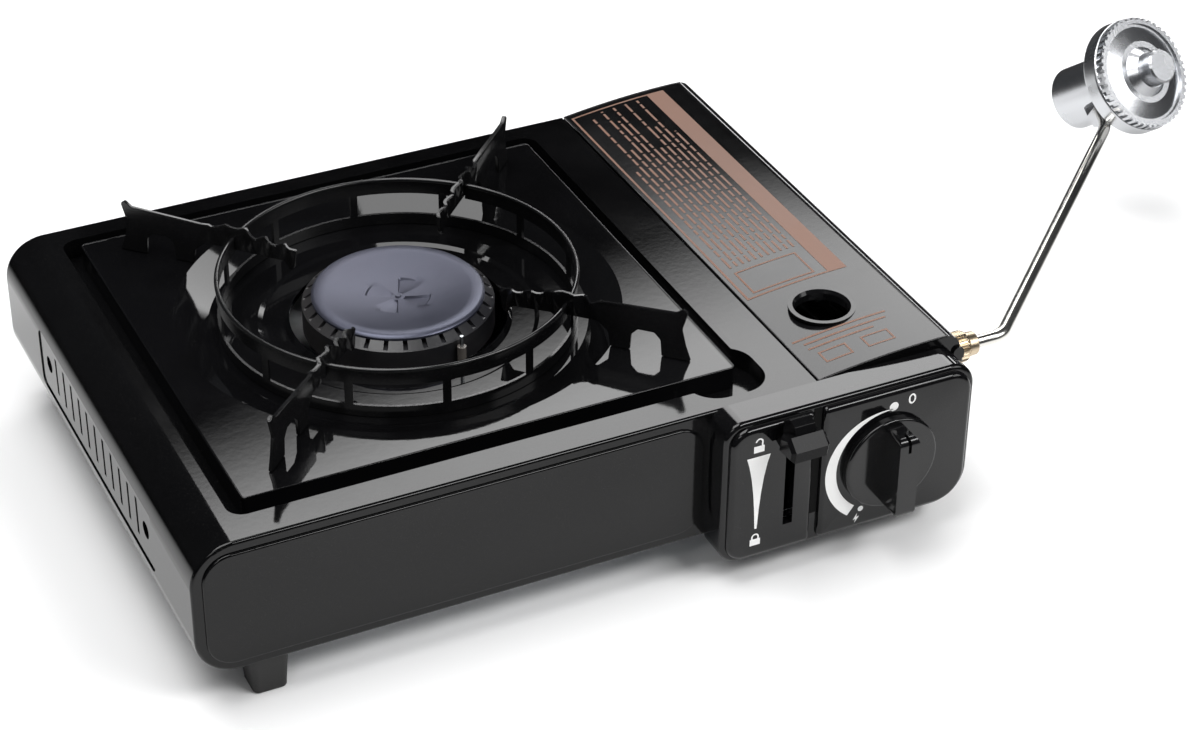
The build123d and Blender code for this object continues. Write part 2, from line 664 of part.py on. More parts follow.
def socket_seal():
    y1 = SOCKET_Y + SOCKET_T
    return rod_y(CAN_X, CAN_Z, NOZZLE_BORE_R, y1, y1 + SEAL_T) - rod_y(CAN_X, CAN_Z, 1.8, y1 - 1, y1 + 3)


def cartridge_carriage():
    """Strip along the shield: cam plate at the front, pusher behind the cartridge."""
    x0 = CARRIAGE_X
    x1 = x0 + CARRIAGE_T
    z0, z1 = CARRIAGE_Z
    low = LEVER_PIN_Z - LEVER_TRAVEL
    high = LEVER_PIN_Z
    front = panel(*CARRIAGE_FRONT_Y, low - 4, high + 5, 2)
    strip = panel(CARRIAGE_FRONT_Y[1] - 4, PUSHER_Y + PUSHER_T, z0, z1)
    plate = along_x(front + strip, x0, x1)
    lean = atan2(CARRIAGE_TRAVEL, LEVER_TRAVEL)
    length = hypot(CARRIAGE_TRAVEL, LEVER_TRAVEL) + 2 * (LEVER_PIN_R + CARRIAGE_SLOT_GAP)
    slot = SlotOverall(length, 2 * (LEVER_PIN_R + CARRIAGE_SLOT_GAP))
    place = Pos(LEVER_PIN_Y + CARRIAGE_TRAVEL / 2, (low + high) / 2) * Rot(0, 0, 90 + degrees(lean))
    plate -= along_x(place * slot, x0 - 1, x1 + 1)
    pusher = shape([(x0, z0 - 6), (CAN_X + 16, z0 - 14), (CAN_X + 16, z1 + 8), (x0, z1)], [1, 6, 6, 1])
    plate += along_y(pusher, PUSHER_Y, PUSHER_Y + PUSHER_T)
    return plate


# ---------------------------------------------------------------- controls

def housing_outline(inset, x0=HOUSING_X0, x1=HOUSING_X1, left_r=9.0, right_top_r=12.0, right_low_r=16.0):
    z0 = HOUSING_Z0 + inset
    z1 = HOUSING_Z1 - inset
    a0 = x0 + inset
    a1 = x1 - inset
    radii = [max(r - inset, 0.5) for r in (left_r, right_low_r, right_top_r, left_r)]
    return shape([(a0, z0), (a1, z0), (a1, z1), (a0, z1)], radii)


def control_housing():
    body = along_y(housing_outline(0), -HOUSING_D, 0)
    body = fillet(body.faces().sort_by(Axis.Y)[0].edges(), HOUSING_EDGE)
    body -= along_y(housing_outline(HOUSING_WALL), -HOUSING_D + HOUSING_WALL, 1)
    body -= rod_y(KNOB_X, KNOB_Z, STEM_R + 1, -HOUSING_D - 1, 0)
    body -= block(SLOT_X0, SLOT_X1, -HOUSING_D - 1, 0, SLOT_Z0, SLOT_Z1)
    return body


def bevelled(face):
    plate = along_y(face, PANEL_FACE, -HOUSING_D)
    return chamfer(plate.faces().sort_by(Axis.Y)[0].edges(), PANEL_BEVEL)


def lock_panel():
    m = PANEL_MARGIN
    x0 = HOUSING_X0 + m
    z0 = HOUSING_Z0 + m
    z1 = HOUSING_Z1 - m
    plate = bevelled(shape([(x0, z0), (LOCK_X1, z0), (LOCK_X1, z1), (x0, z1)], [7.5, 2, 2, 9]))
    return plate - block(SLOT_X0, SLOT_X1, PANEL_FACE - 1, 0, SLOT_Z0, SLOT_Z1 - 2)


def knob_panel():
    m = PANEL_MARGIN
    x1 = HOUSING_X1 - m
    z0 = HOUSING_Z0 + m
    z1 = HOUSING_Z1 - m
    plate = bevelled(shape([(KNOB_X0, z0), (x1, z0), (x1, z1), (KNOB_X0, z1)], [2, 14, 10.5, 2]))
    return plate - rod_y(KNOB_X, KNOB_Z, STEM_R + 1, PANEL_FACE - 1, 0)


def knob():
    y1 = PANEL_FACE - KNOB_GAP
    disc = rod_y(KNOB_X, KNOB_Z, KNOB_R, y1 - KNOB_DISC, y1)
    disc = fillet(disc.faces().sort_by(Axis.Y)[0].edges(), 1.2)
    z0 = KNOB_Z - FIN_L / 2
    z1 = KNOB_Z + FIN_L / 2
    tip = y1 - KNOB_DISC - FIN_H
    side = shape([(y1 - 1, z0 + 1), (y1 - 1, z1 - 1), (tip, z1 - 0.5), (tip, z0 + 0.5)], [1, 1, 3, 3])
    fin = along_x(side, KNOB_X - FIN_W / 2, KNOB_X + FIN_W / 2)
    grip = along_y(panel(KNOB_X - FIN_W / 2, KNOB_X + FIN_W / 2, z0, z1, FIN_W / 2 - 1.2), tip - 1, y1)
    solid = disc + (fin & grip)
    slit = block(KNOB_X - FIN_SLIT_W / 2, KNOB_X + FIN_SLIT_W / 2, tip - 1, tip + 5, z1 - FIN_SLIT_L, z1 + 1)
    solid -= slit
    return solid - rod_y(KNOB_X, KNOB_Z, STEM_R, y1 - STEM_IN_KNOB, y1 + 1)


def valve_stem():
    y1 = PANEL_FACE - KNOB_GAP
    return rod_y(KNOB_X, KNOB_Z, STEM_R, y1 - STEM_IN_KNOB, VALVE[2] + 10)


def striker_cam():
    """Spiral cam on the stem: its radius grows by the striker's travel over the knob's turn."""
    points = []
    for i in range(25):
        angle = -CAM_TURN + 360 * i / 24
        if angle <= 0:
            r = CAM_R0 - CAM_RISE * angle / CAM_TURN
        elif angle <= 360 - 2 * CAM_TURN:
            r = CAM_R0
        else:
            r = CAM_R0 + CAM_RISE * (angle - 360 + 2 * CAM_TURN) / CAM_TURN
        points.append((KNOB_X + r * cos(radians(angle)), KNOB_Z + r * sin(radians(angle))))
    with BuildLine() as line:
        Polyline(*points[:-1], close=True)
    cam = along_y(make_face(line.line), CAM_Y, CAM_Y + CAM_T)
    return cam - rod_y(KNOB_X, KNOB_Z, STEM_R, CAM_Y - 1, CAM_Y + CAM_T + 1)


def piezo_plunger():
    y = CAM_Y + CAM_T / 2
    x0 = KNOB_X + CAM_R0 + STRIKER_GAP
    rod = rod_x(y, KNOB_Z, STRIKER_R, x0 + 2, PIEZO_X0 + 8)
    tip = Plane(origin=spot(x0, y, KNOB_Z), z_dir=(1, 0, 0)) * Cone(
        0.6, STRIKER_R, 2, align=(Align.CENTER, Align.CENTER, Align.MIN))
    return rod + tip


def piezo_igniter():
    y = CAM_Y + CAM_T / 2
    body = rod_x(y, KNOB_Z, PIEZO_R, PIEZO_X0, PIEZO_X1)
    body += block(PIEZO_X0 + 4, PIEZO_X1 - 4, y, 0, KNOB_Z - 3, KNOB_Z + 3)
    return body - rod_x(y, KNOB_Z, STRIKER_R + STEM_PLAY, PIEZO_X0 - 1, PIEZO_X0 + 8 + CAM_RISE + 1)


def lever_arm():
    mid = (SLOT_X0 + SLOT_X1) / 2
    bar = panel(PANEL_FACE - 6, LEVER_BAR_BACK, LEVER_Z, LEVER_Z + LEVER_ARM_H)
    leg = panel(2 * SHEET, LEVER_BACK, *LEVER_LEG_Z, 1.5)
    arm = along_x(bar + leg, mid - LEVER_T / 2, mid + LEVER_T / 2)
    pin_end = CARRIAGE_X + CARRIAGE_T + 1
    return arm + rod_x(LEVER_PIN_Y, LEVER_PIN_Z, LEVER_PIN_R, mid, pin_end)


def lever_grip():
    """Moulded grip pushed on the arm: a narrow shoulder above a wide, faceted thumb block."""
    mid = (SLOT_X0 + SLOT_X1) / 2
    y = PANEL_FACE - 0.6
    z = LEVER_Z
    shoulder = shape([(y, z + 0.5), (y, z + 15.5), (y - 5, z + 18.5), (y - 9, z + 17),
                      (y - 12, z + 9.5), (y - 9, z + 2.5)], 0.8)
    top = along_x(shoulder, mid - 4.6, mid + 4.6)
    thumb = shape([(y - 3, z + 3), (y - 4, z + 11.5), (y - 11, z + 14), (y - 16, z + 9.5), (y - 15, z + 4)])
    wide = along_x(thumb, mid - GRIP_W / 2, mid + GRIP_W / 2)
    sides = wide.faces().sort_by(Axis.X)
    wide = chamfer(sides[0].edges() + sides[-1].edges(), 1.5)
    return top + wide - lever_arm()


# ---------------------------------------------------------------- lid

def lid_outline(inset):
    x0 = LID_LEFT + inset
    x1 = CASE_W - SHEET - LID_RIGHT_GAP - inset
    z0 = LID_SKIRT_Z
    low = LID_LOW - inset
    high = LID_HIGH - inset
    r = LID_ROLL_R - inset
    roll_x = x1 - r
    mid_x = (x0 + roll_x) / 2
    mid_z = low + (high - low) * 0.72
    with BuildLine() as line:
        Line((x0, z0), (x0, low))
        ThreePointArc((x0, low), (mid_x, mid_z), (roll_x, high))
        bend = sin(radians(45)) * r
        ThreePointArc((roll_x, high), (roll_x + bend, high - r + bend), (x1, high - r))
        Line((x1, high - r), (x1, z0))
        Line((x1, z0), (x0, z0))
    return make_face(line.line)


def lid():
    y0 = SHEET + LID_END_GAP
    y1 = CASE_D - y0
    shell = along_y(lid_outline(0), y0, y1)
    inner = along_y(lid_outline(SHEET), y0 + SHEET, y1 - SHEET)
    shell -= inner
    shell -= block(LID_LEFT + SHEET, CASE_W - 3, y0 + SHEET, y1 - SHEET, LID_SKIRT_Z - 1, LID_SKIRT_Z + 1)
    rim_z = LID_HIGH - 4.5
    shell -= rod_z(FINGER_X, FINGER_Y, FINGER_R + FINGER_RIM - 1, rim_z, LID_HIGH + 2)
    flare = FINGER_R + FINGER_RIM
    with BuildLine() as line:
        Polyline((FINGER_R, rim_z - 1), (FINGER_R + 1, rim_z - 1), (FINGER_R + 1.6, rim_z + 2.2),
                 (flare, rim_z + 2.6), (flare, rim_z + 3.8), (FINGER_R + 1, rim_z + 3.8),
                 (FINGER_R, rim_z + 2.2), close=True)
    plane = Plane(origin=spot(FINGER_X, FINGER_Y, 0), x_dir=(1, 0, 0), z_dir=(0, -1, 0))
    shell += revolve(plane * make_face(line.line), axis=Axis(spot(FINGER_X, FINGER_Y, 0), (0, 0, 1)))
    lug = Pos(HINGE_X, HINGE_Z) * Circle(LUG_R)
    for a, b in ((y0, y0 + SHEET), (y1 - SHEET, y1)):
        shell += along_y(lug, a, b)
        shell -= along_y(Pos(HINGE_X, HINGE_Z) * Circle(HINGE_PIN_R + HINGE_PLAY), a - 1, b + 1)
    return shell


def hinge_pins():
    front = rod_y(HINGE_X, HINGE_Z, HINGE_PIN_R, SHEET, SHEET + PIN_L)
    rear = rod_y(HINGE_X, HINGE_Z, HINGE_PIN_R, CASE_D - SHEET - PIN_L, CASE_D - SHEET)
    return Compound(children=[front, rear])


# ---------------------------------------------------------------- side inlet, adapter, regulator

def inlet_fitting():
    fit = rod_x(INLET_Y, INLET_Z, INLET_R, CASE_W - 4, CASE_W + INLET_OUT)
    fit += rod_x(INLET_Y, INLET_Z, INLET_FLANGE_R - 1.5, CASE_W - SHEET - INLET_FLANGE_T, CASE_W - SHEET)
    return fit - rod_x(INLET_Y, INLET_Z, 1.5, CASE_W - 3, CASE_W + INLET_OUT + 1)


def inlet_tube():
    x = VALVE[1] + 4
    return tube([(CASE_W - 4, INLET_Y, INLET_Z), (x + 12, INLET_Y, INLET_Z), (x + 8, INLET_Y, 28), (x, INLET_Y, 28)],
                PIPE_R, [6, 3.2])


def coupling_nut():
    x0 = CASE_W + 1
    hexagon = RegularPolygon(NUT_AF / 2, 6, major_radius=False)
    plane = Plane(origin=spot(x0, INLET_Y, INLET_Z), x_dir=(0, 1, 0), z_dir=(1, 0, 0))
    body = extrude(plane * hexagon, NUT_L - 6)
    body += extrude(plane * Circle(NUT_AF / 2 - 1), NUT_L)
    body -= rod_x(INLET_Y, INLET_Z, INLET_R + NUT_GAP, x0 - 1, CASE_W + INLET_OUT + 1)
    return body - rod_x(INLET_Y, INLET_Z, ADAPTER_R + NUT_GAP, x0 - 1, x0 + NUT_L + 1)


def regulator_plane():
    return Plane(origin=spot(*REG_CENTRE), z_dir=REG_FACE)


def pipe_end(reach):
    """Point on the pipe's last run, a given way before the middle of the regulator."""
    near = Vector(ADAPTER_NEAR[0], ADAPTER_NEAR[1], INLET_Z)
    middle = Vector(*REG_CENTRE)
    return middle + (near - middle).normalized() * reach


def adapter_pipe():
    x0 = CASE_W + INLET_OUT + NUT_GAP
    start = (x0, INLET_Y, INLET_Z)
    turn = (ADAPTER_BEND_X, INLET_Y, INLET_Z)
    near = (ADAPTER_NEAR[0], ADAPTER_NEAR[1], INLET_Z)
    end = pipe_end(REG_BODY_R + 1)
    return tube([start, turn, near, tuple(end)], ADAPTER_R, ADAPTER_BENDS, ADAPTER_BORE_R)


def neck_plane():
    """Plane at the mouth of the regulator's neck, looking into it."""
    mouth = pipe_end(REG_NECK_L)
    return Plane(origin=spot(*mouth), z_dir=spot(*REG_CENTRE) - spot(*mouth))


def regulator_neck():
    rise = (Align.CENTER, Align.CENTER, Align.MIN)
    neck = neck_plane() * Cylinder(REG_NECK_R, REG_NECK_L - 4, align=rise)
    return neck + neck_plane() * extrude(RegularPolygon(REG_NECK_R + 1.4, 6), 8)


def regulator_body():
    """Body with the neck for the pipe on its side and the bottle's thread in its back."""
    rise = (Align.CENTER, Align.CENTER, Align.MIN)
    back = regulator_plane() * Pos(0, 0, -REG_BACK)
    body = back * Cylinder(REG_BODY_R, REG_BACK + REG_DRUM_RISE, align=rise) + regulator_neck()
    body -= neck_plane() * Cylinder(ADAPTER_R + NUT_GAP, REG_NECK_L - REG_BODY_R, align=rise)
    return body - back * Cylinder(PORT_R, PORT_L, align=rise)


def regulator_drum():
    """Diaphragm chamber: a round drum on the front of the body."""
    rise = (Align.CENTER, Align.CENTER, Align.MIN)
    drum = Cylinder(REG_DRUM_R, REG_DRUM_T, align=rise)
    drum = fillet(drum.edges().filter_by(GeomType.CIRCLE), 1.2)
    return regulator_plane() * Pos(0, 0, REG_DRUM_RISE) * drum


def regulator_cover():
    """Screwed front cover with a toothed edge, a shallow dish and a low dome."""
    step = 360 / REG_TEETH
    corners = []
    for i in range(REG_TEETH):
        for share, r in ((0, REG_COVER_R), (0.45, REG_COVER_R), (0.5, REG_COVER_R - REG_TOOTH),
                         (0.95, REG_COVER_R - REG_TOOTH)):
            a = radians(step * (i + share))
            corners.append((r * cos(a), r * sin(a)))
    with BuildLine() as line:
        Polyline(*corners, close=True)
    rise = (Align.CENTER, Align.CENTER, Align.MIN)
    cover = extrude(make_face(line.line), REG_COVER_T)
    cover -= Pos(0, 0, REG_COVER_T - 1.2) * Cylinder(REG_COVER_R - 3, 3, align=rise)
    cover += Pos(0, 0, REG_COVER_T - 1.2) * Cone(REG_COVER_R - 4.5, REG_BOSS_BASE_R + 3, 2.0, align=rise)
    return regulator_plane() * Pos(0, 0, REG_DRUM_RISE + REG_DRUM_T) * cover


def regulator_boss():
    z = REG_DRUM_RISE + REG_DRUM_T + REG_COVER_T + 0.8
    rise = (Align.CENTER, Align.CENTER, Align.MIN)
    boss = Cone(REG_BOSS_BASE_R, REG_BOSS_R + 0.6, 4, align=rise)
    boss += Pos(0, 0, 4) * Cylinder(REG_BOSS_R, REG_BOSS_L - 4, align=rise)
    boss = chamfer(boss.faces().sort_by(Axis.Z)[-1].edges(), 0.8)
    return regulator_plane() * Pos(0, 0, z) * boss


# ---------------------------------------------------------------- ignition

def electrode_spot():
    r = HEAD_R + CERAMIC_GAP + CERAMIC_R
    a = radians(ELECTRODE_TURN)
    return BURNER_X + r * cos(a), BURNER_Y + r * sin(a)


def ignition_electrode():
    x, y = electrode_spot()
    return rod_z(x, y, ELECTRODE_R, WIRE_END_Z, CASE_H + 6)


def electrode_insulator():
    x, y = electrode_spot()
    return rod_z(x, y, CERAMIC_R, WIRE_END_Z + 4, CASE_H + 1) - rod_z(x, y, ELECTRODE_R, 0, CASE_H + 2)


def electrode_clip():
    """Sheet tongue on the burner cup that holds the ceramic."""
    r = HEAD_R + CERAMIC_GAP + CERAMIC_R
    tongue = Pos((CUP_R + r) / 2, 0) * Rectangle(r - CUP_R, 9)
    flat = Pos(BURNER_X, BURNER_Y) * (Rot(0, 0, ELECTRODE_TURN) * (tongue + Pos(r, 0) * Circle(4.5)) - Circle(CUP_R))
    clip = along_z(flat, CLIP_Z, CLIP_Z + SHEET)
    x, y = electrode_spot()
    return clip - rod_z(x, y, CERAMIC_R + 0.05, CLIP_Z - 1, CLIP_Z + 2)


def ignition_wire():
    x, y = electrode_spot()
    depth = CAM_Y + CAM_T / 2
    top = KNOB_Z - PIEZO_R - STEM_PLAY
    route = [(PIEZO_X1 - 4, depth, top), (PIEZO_X1 - 4, depth, WIRE_Z), (CASE_W - 56, depth, WIRE_Z + 0.8),
             (WIRE_HOLE_X, depth, WIRE_Z), (WIRE_HOLE_X, 24, WIRE_Z), (CASE_W - 142, 44, WIRE_Z + 0.6),
             (x + 6, y - 18, WIRE_Z), (x, y, WIRE_Z + 4), (x, y, WIRE_END_Z)]
    return tube(route, WIRE_R, [7, 60, 7, 16, 40, 16, 7])


NODES = {
    "case_shell": case_shell,
    "base_plate": base_plate,
    "heat_shield": heat_shield,
    "base_screws": base_screws,
    "drip_tray": drip_tray,
    "support_ring": support_ring,
    "burner_base": burner_base,
    "burner_head": burner_head,
    "burner_cap": burner_cap,
    "mixing_tube": mixing_tube,
    "jet_carrier": jet_carrier,
    "gas_jet": gas_jet,
    "gas_pipe": gas_pipe,
    "burner_bracket": burner_bracket,
    "can_saddles": can_saddles,
    "valve_body": valve_body,
    "cartridge_socket": cartridge_socket,
    "socket_seal": socket_seal,
    "cartridge_carriage": cartridge_carriage,
    "control_housing": control_housing,
    "lock_panel": lock_panel,
    "knob_panel": knob_panel,
    "knob": knob,
    "valve_stem": valve_stem,
    "striker_cam": striker_cam,
    "piezo_plunger": piezo_plunger,
    "piezo_igniter": piezo_igniter,
    "lever_arm": lever_arm,
    "lever_grip": lever_grip,
    "lid": lid,
    "hinge_pins": hinge_pins,
    "inlet_fitting": inlet_fitting,
    "inlet_tube": inlet_tube,
    "coupling_nut": coupling_nut,
    "adapter_pipe": adapter_pipe,
    "regulator_body": regulator_body,
    "regulator_drum": regulator_drum,
    "regulator_cover": regulator_cover,
    "regulator_boss": regulator_boss,
    "ignition_electrode": ignition_electrode,
    "electrode_insulator": electrode_insulator,
    "electrode_clip": electrode_clip,
    "ignition_wire": ignition_wire,
}

os.makedirs("parts", exist_ok=True)
for name, make in NODES.items():
    export_step(make(), f"parts/{name}.step")
for quarter, name in enumerate(("arm_rear_right", "arm_rear_left", "arm_front_left", "arm_front_right")):
    export_step(support_arm(quarter), f"parts/{name}.step")
near = FOOT_X + FOOT_W / 2
for name, x, y in (("foot_front_left", near, FOOT_Y + FOOT_W / 2),
                   ("foot_front_right", CASE_W - near, FOOT_Y + FOOT_W / 2),
                   ("foot_rear_left", near, CASE_D - FOOT_Y - FOOT_W / 2),
                   ("foot_rear_right", CASE_W - near, CASE_D - FOOT_Y - FOOT_W / 2)):
    export_step(foot(x, y), f"parts/{name}.step")
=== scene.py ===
from math import cos, pi, radians, sin

import bmesh
import bpy
from mathutils import Matrix, Vector
from mathutils.bvhtree import BVHTree


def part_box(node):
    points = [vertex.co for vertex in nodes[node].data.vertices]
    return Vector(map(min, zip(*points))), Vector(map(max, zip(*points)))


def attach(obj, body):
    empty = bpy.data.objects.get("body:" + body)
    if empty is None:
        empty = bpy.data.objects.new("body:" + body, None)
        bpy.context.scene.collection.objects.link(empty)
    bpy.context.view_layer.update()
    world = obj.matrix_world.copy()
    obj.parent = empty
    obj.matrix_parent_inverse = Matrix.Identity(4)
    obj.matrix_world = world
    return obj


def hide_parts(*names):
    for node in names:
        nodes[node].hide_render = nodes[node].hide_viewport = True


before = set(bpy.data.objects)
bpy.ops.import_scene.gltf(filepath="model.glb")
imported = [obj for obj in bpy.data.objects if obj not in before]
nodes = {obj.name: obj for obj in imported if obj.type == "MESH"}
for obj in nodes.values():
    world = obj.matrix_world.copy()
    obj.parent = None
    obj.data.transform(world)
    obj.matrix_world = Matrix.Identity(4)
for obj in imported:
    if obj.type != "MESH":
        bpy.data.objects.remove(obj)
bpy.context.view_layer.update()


# Camera: stands in front of the stove and to its left, and looks down on it.
# A long lens keeps the sides of the case nearly parallel.
view = bpy.data.cameras.new("view")
view.sensor_width = 36.0
view.lens = 86.13
PAN, TILT, ROLL = radians(-26.21), radians(56.15), radians(0.66)
CAMERA_AT = (-0.26908, -0.84384, 0.73999)
camera = bpy.data.objects.new("view", view)
turn = Matrix.Rotation(PAN, 4, "Z") @ Matrix.Rotation(TILT, 4, "X")
camera.matrix_world = Matrix.Translation(CAMERA_AT) @ turn @ Matrix.Rotation(ROLL, 4, "Z")
bpy.context.scene.collection.objects.link(camera)
bpy.context.scene.camera = camera
bpy.context.scene.view_settings.view_transform = "Standard"


# Studio: pale matt floor, five soft lamps, and a large white card behind the stove on its right.
# The card fades to black at its lower left. None of it is part of the stove.
def new_material(name):
    material = bpy.data.materials.new(name)
    material.use_nodes = True
    tree = material.node_tree
    return material, tree, tree.nodes["Principled BSDF"]


def new_mesh(name, points, faces, smooth=False):
    mesh = bpy.data.meshes.new(name)
    mesh.from_pydata([tuple(p) for p in points], [], faces)
    mesh.update()
    for face in mesh.polygons:
        face.use_smooth = smooth
    made = bpy.data.objects.new(name, mesh)
    bpy.context.scene.collection.objects.link(made)
    return made


def faded(tree, near, far):
    """1 at the near value of the stretch from near to far, and 0 at the far one."""
    node = tree.nodes.new("ShaderNodeMapRange")
    node.interpolation_type = "SMOOTHSTEP"
    ends = (("From Min", near), ("From Max", far), ("To Min", 1.0), ("To Max", 0.0))
    for socket, end in ends:
        node.inputs[socket].default_value = end
    return node


floor_paint, floor_tree, floor_shader = new_material("pale_floor")
floor_shader.inputs["Base Color"].default_value = (0.93, 0.93, 0.93, 1)
floor_shader.inputs["Roughness"].default_value = 0.9
floor_shader.inputs["Specular IOR Level"].default_value = 0.1
FLOOR_R = 9
floor_corners = [(-FLOOR_R, -FLOOR_R, 0), (FLOOR_R, -FLOOR_R, 0), (FLOOR_R, FLOOR_R, 0),
                 (-FLOOR_R, FLOOR_R, 0)]
floor = new_mesh("floor", floor_corners, [(0, 1, 2, 3)])
floor.data.materials.append(floor_paint)
# in the gloss enamel the floor shows pale only near the stove
STOVE_MIDDLE = (0.14, 0.11, 0.0)
PALE_TO, DARK_FROM = 0.27, 0.60
dark = floor_tree.nodes.new("ShaderNodeEmission")
dark.inputs["Color"].default_value = (0.02, 0.02, 0.02, 1)
reach = floor_tree.nodes.new("ShaderNodeVectorMath")
reach.operation = "DISTANCE"
reach.inputs[1].default_value = STOVE_MIDDLE
floor_at = floor_tree.nodes.new("ShaderNodeTexCoord")
floor_tree.links.new(floor_at.outputs["Object"], reach.inputs[0])
near_floor = faded(floor_tree, PALE_TO, DARK_FROM)
floor_tree.links.new(reach.outputs["Value"], near_floor.inputs["Value"])
unseen = floor_tree.nodes.new("ShaderNodeMath")
unseen.operation = "SUBTRACT"
unseen.use_clamp = True
light_path = floor_tree.nodes.new("ShaderNodeLightPath")
floor_tree.links.new(light_path.outputs["Is Glossy Ray"], unseen.inputs[0])
floor_tree.links.new(near_floor.outputs["Result"], unseen.inputs[1])
far_floor = floor_tree.nodes.new("ShaderNodeMixShader")
floor_tree.links.new(unseen.outputs["Value"], far_floor.inputs["Fac"])
floor_tree.links.new(floor_shader.outputs["BSDF"], far_floor.inputs[1])
floor_tree.links.new(dark.outputs["Emission"], far_floor.inputs[2])
floor_out = floor_tree.nodes["Material Output"]
floor_tree.links.new(far_floor.outputs["Shader"], floor_out.inputs["Surface"])

world = bpy.data.worlds.new("studio")
world.use_nodes = True
sky = world.node_tree.nodes["Background"]
sky.inputs["Color"].default_value = (0.9, 0.93, 1.0, 1)
sky.inputs["Strength"].default_value = 0.045
bpy.context.scene.world = world

CARD_PLACE = Matrix(((0.891, -0.267, -0.367, 0.698),
                     (-0.454, -0.524, -0.721, 1.273),
                     (0.0, 0.809, -0.588, 1.023),
                     (0, 0, 0, 1)))
CARD_X = (-0.45, 0.60)
CARD_Y = (-0.42, 0.34)
CARD_SLOPE = (0.45, 1.0, 0.0)
WHITE_AT, BLACK_AT = 0.035, -0.125
CARD_GLOW = 6.0
card_light, card_tree, card_shader = new_material("card_light")
card_tree.nodes.remove(card_shader)
glow = card_tree.nodes.new("ShaderNodeEmission")
slope = card_tree.nodes.new("ShaderNodeVectorMath")
slope.operation = "DOT_PRODUCT"
slope.inputs[1].default_value = CARD_SLOPE
card_at = card_tree.nodes.new("ShaderNodeTexCoord")
card_tree.links.new(card_at.outputs["Object"], slope.inputs[0])
shade = faded(card_tree, WHITE_AT, BLACK_AT)
shade.inputs["To Min"].default_value = CARD_GLOW
card_tree.links.new(slope.outputs["Value"], shade.inputs["Value"])
card_tree.links.new(shade.outputs["Result"], glow.inputs["Strength"])
card_tree.links.new(glow.outputs["Emission"], card_tree.nodes["Material Output"].inputs["Surface"])
card_corners = [(CARD_X[0], CARD_Y[0], 0), (CARD_X[1], CARD_Y[0], 0), (CARD_X[1], CARD_Y[1], 0),
                (CARD_X[0], CARD_Y[1], 0)]
card = new_mesh("card", card_corners, [(0, 1, 2, 3)])
card.matrix_world = CARD_PLACE
card.visible_camera = False
card.data.materials.append(card_light)

# place, point it shines at, width and height in metres, watts
LAMPS = {
    "lamp_above": ((-0.25, 0.25, 1.9), (0.14, 0.11, 0), 1.6, 1.2, 36),
    "lamp_front_right": ((0.98, -1.15, 1.68), (0.14, 0.11, 0.05), 1.1, 0.5, 22),
    "lamp_right": ((1.95, -1.2, 1.2), (0.5, 0.1, 0.1), 1.2, 1.0, 14),
    "lamp_front_left": ((-1.3, -1.3, 1.9), (0.14, 0.11, 0.05), 1.0, 0.6, 7),
    "lamp_edge": ((1.23, 1.23, 0.47), (0.3, 0.12, 0.085), 0.7, 0.12, 1.8),
}
for name, (place, aim, wide, high, watts) in LAMPS.items():
    lamp = bpy.data.lights.new(name, "AREA")
    lamp.shape = "RECTANGLE"
    lamp.size = wide
    lamp.size_y = high
    lamp.energy = watts
    stand = bpy.data.objects.new(name, lamp)
    stand.location = place
    stand.rotation_euler = (Vector(place) - Vector(aim)).to_track_quat("Z", "Y").to_euler()
    stand.visible_camera = False
    bpy.context.scene.collection.objects.link(stand)


# Case: pressed steel shell, stove-enamelled in gloss black after pressing.
# The enamel has a faint orange peel and light wiping marks.
def new_group(name, inputs, outputs):
    group = bpy.data.node_groups.new(name, "ShaderNodeTree")
    for socket, value in inputs:
        kind = "NodeSocketVector" if isinstance(value, tuple) else "NodeSocketFloat"
        made = group.interface.new_socket(name=socket, in_out="INPUT", socket_type=kind)
        made.default_value = value
    for socket in outputs:
        group.interface.new_socket(name=socket, in_out="OUTPUT", socket_type="NodeSocketFloat")
    return group, group.nodes.new("NodeGroupInput"), group.nodes.new("NodeGroupOutput")


def noise(tree, vector, scale, detail=3.0, rough=0.55):
    """Noise texture; scale is a socket or a number."""
    node = tree.nodes.new("ShaderNodeTexNoise")
    tree.links.new(vector, node.inputs["Vector"])
    if isinstance(scale, (int, float)):
        node.inputs["Scale"].default_value = scale
    else:
        tree.links.new(scale, node.inputs["Scale"])
    node.inputs["Detail"].default_value = detail
    node.inputs["Roughness"].default_value = rough
    return node.outputs["Fac"]


def span(tree, value, low, high, to_low, to_high):
    """Map Range from low..high to to_low..to_high, held at the ends."""
    node = tree.nodes.new("ShaderNodeMapRange")
    tree.links.new(value, node.inputs["Value"])
    ends = (("From Min", low), ("From Max", high), ("To Min", to_low), ("To Max", to_high))
    for socket, end in ends:
        node.inputs[socket].default_value = end
    return node.outputs["Result"]


surface, given, out = new_group(
    "surface_marks", [("Fine scale", 900.0), ("Wipe scale", 9.0), ("Stretch", (1.0, 1.0, 1.0))],
    ["Grain", "Wipe", "Dust"])
spot = surface.nodes.new("ShaderNodeTexCoord").outputs["Object"]
stretch = surface.nodes.new("ShaderNodeVectorMath")
stretch.operation = "MULTIPLY"
surface.links.new(spot, stretch.inputs[0])
surface.links.new(given.outputs["Stretch"], stretch.inputs[1])
grain = noise(surface, stretch.outputs["Vector"], given.outputs["Fine scale"])
surface.links.new(grain, out.inputs["Grain"])
wipe = noise(surface, stretch.outputs["Vector"], given.outputs["Wipe scale"], 5.0, 0.62)
surface.links.new(span(surface, wipe, 0.38, 0.64, 0.0, 1.0), out.inputs["Wipe"])
dust = noise(surface, spot, 2600.0, 1.0)
surface.links.new(span(surface, dust, 0.66, 0.74, 0.0, 1.0), out.inputs["Dust"])
DUST_COLOUR = (0.42, 0.40, 0.38, 1)


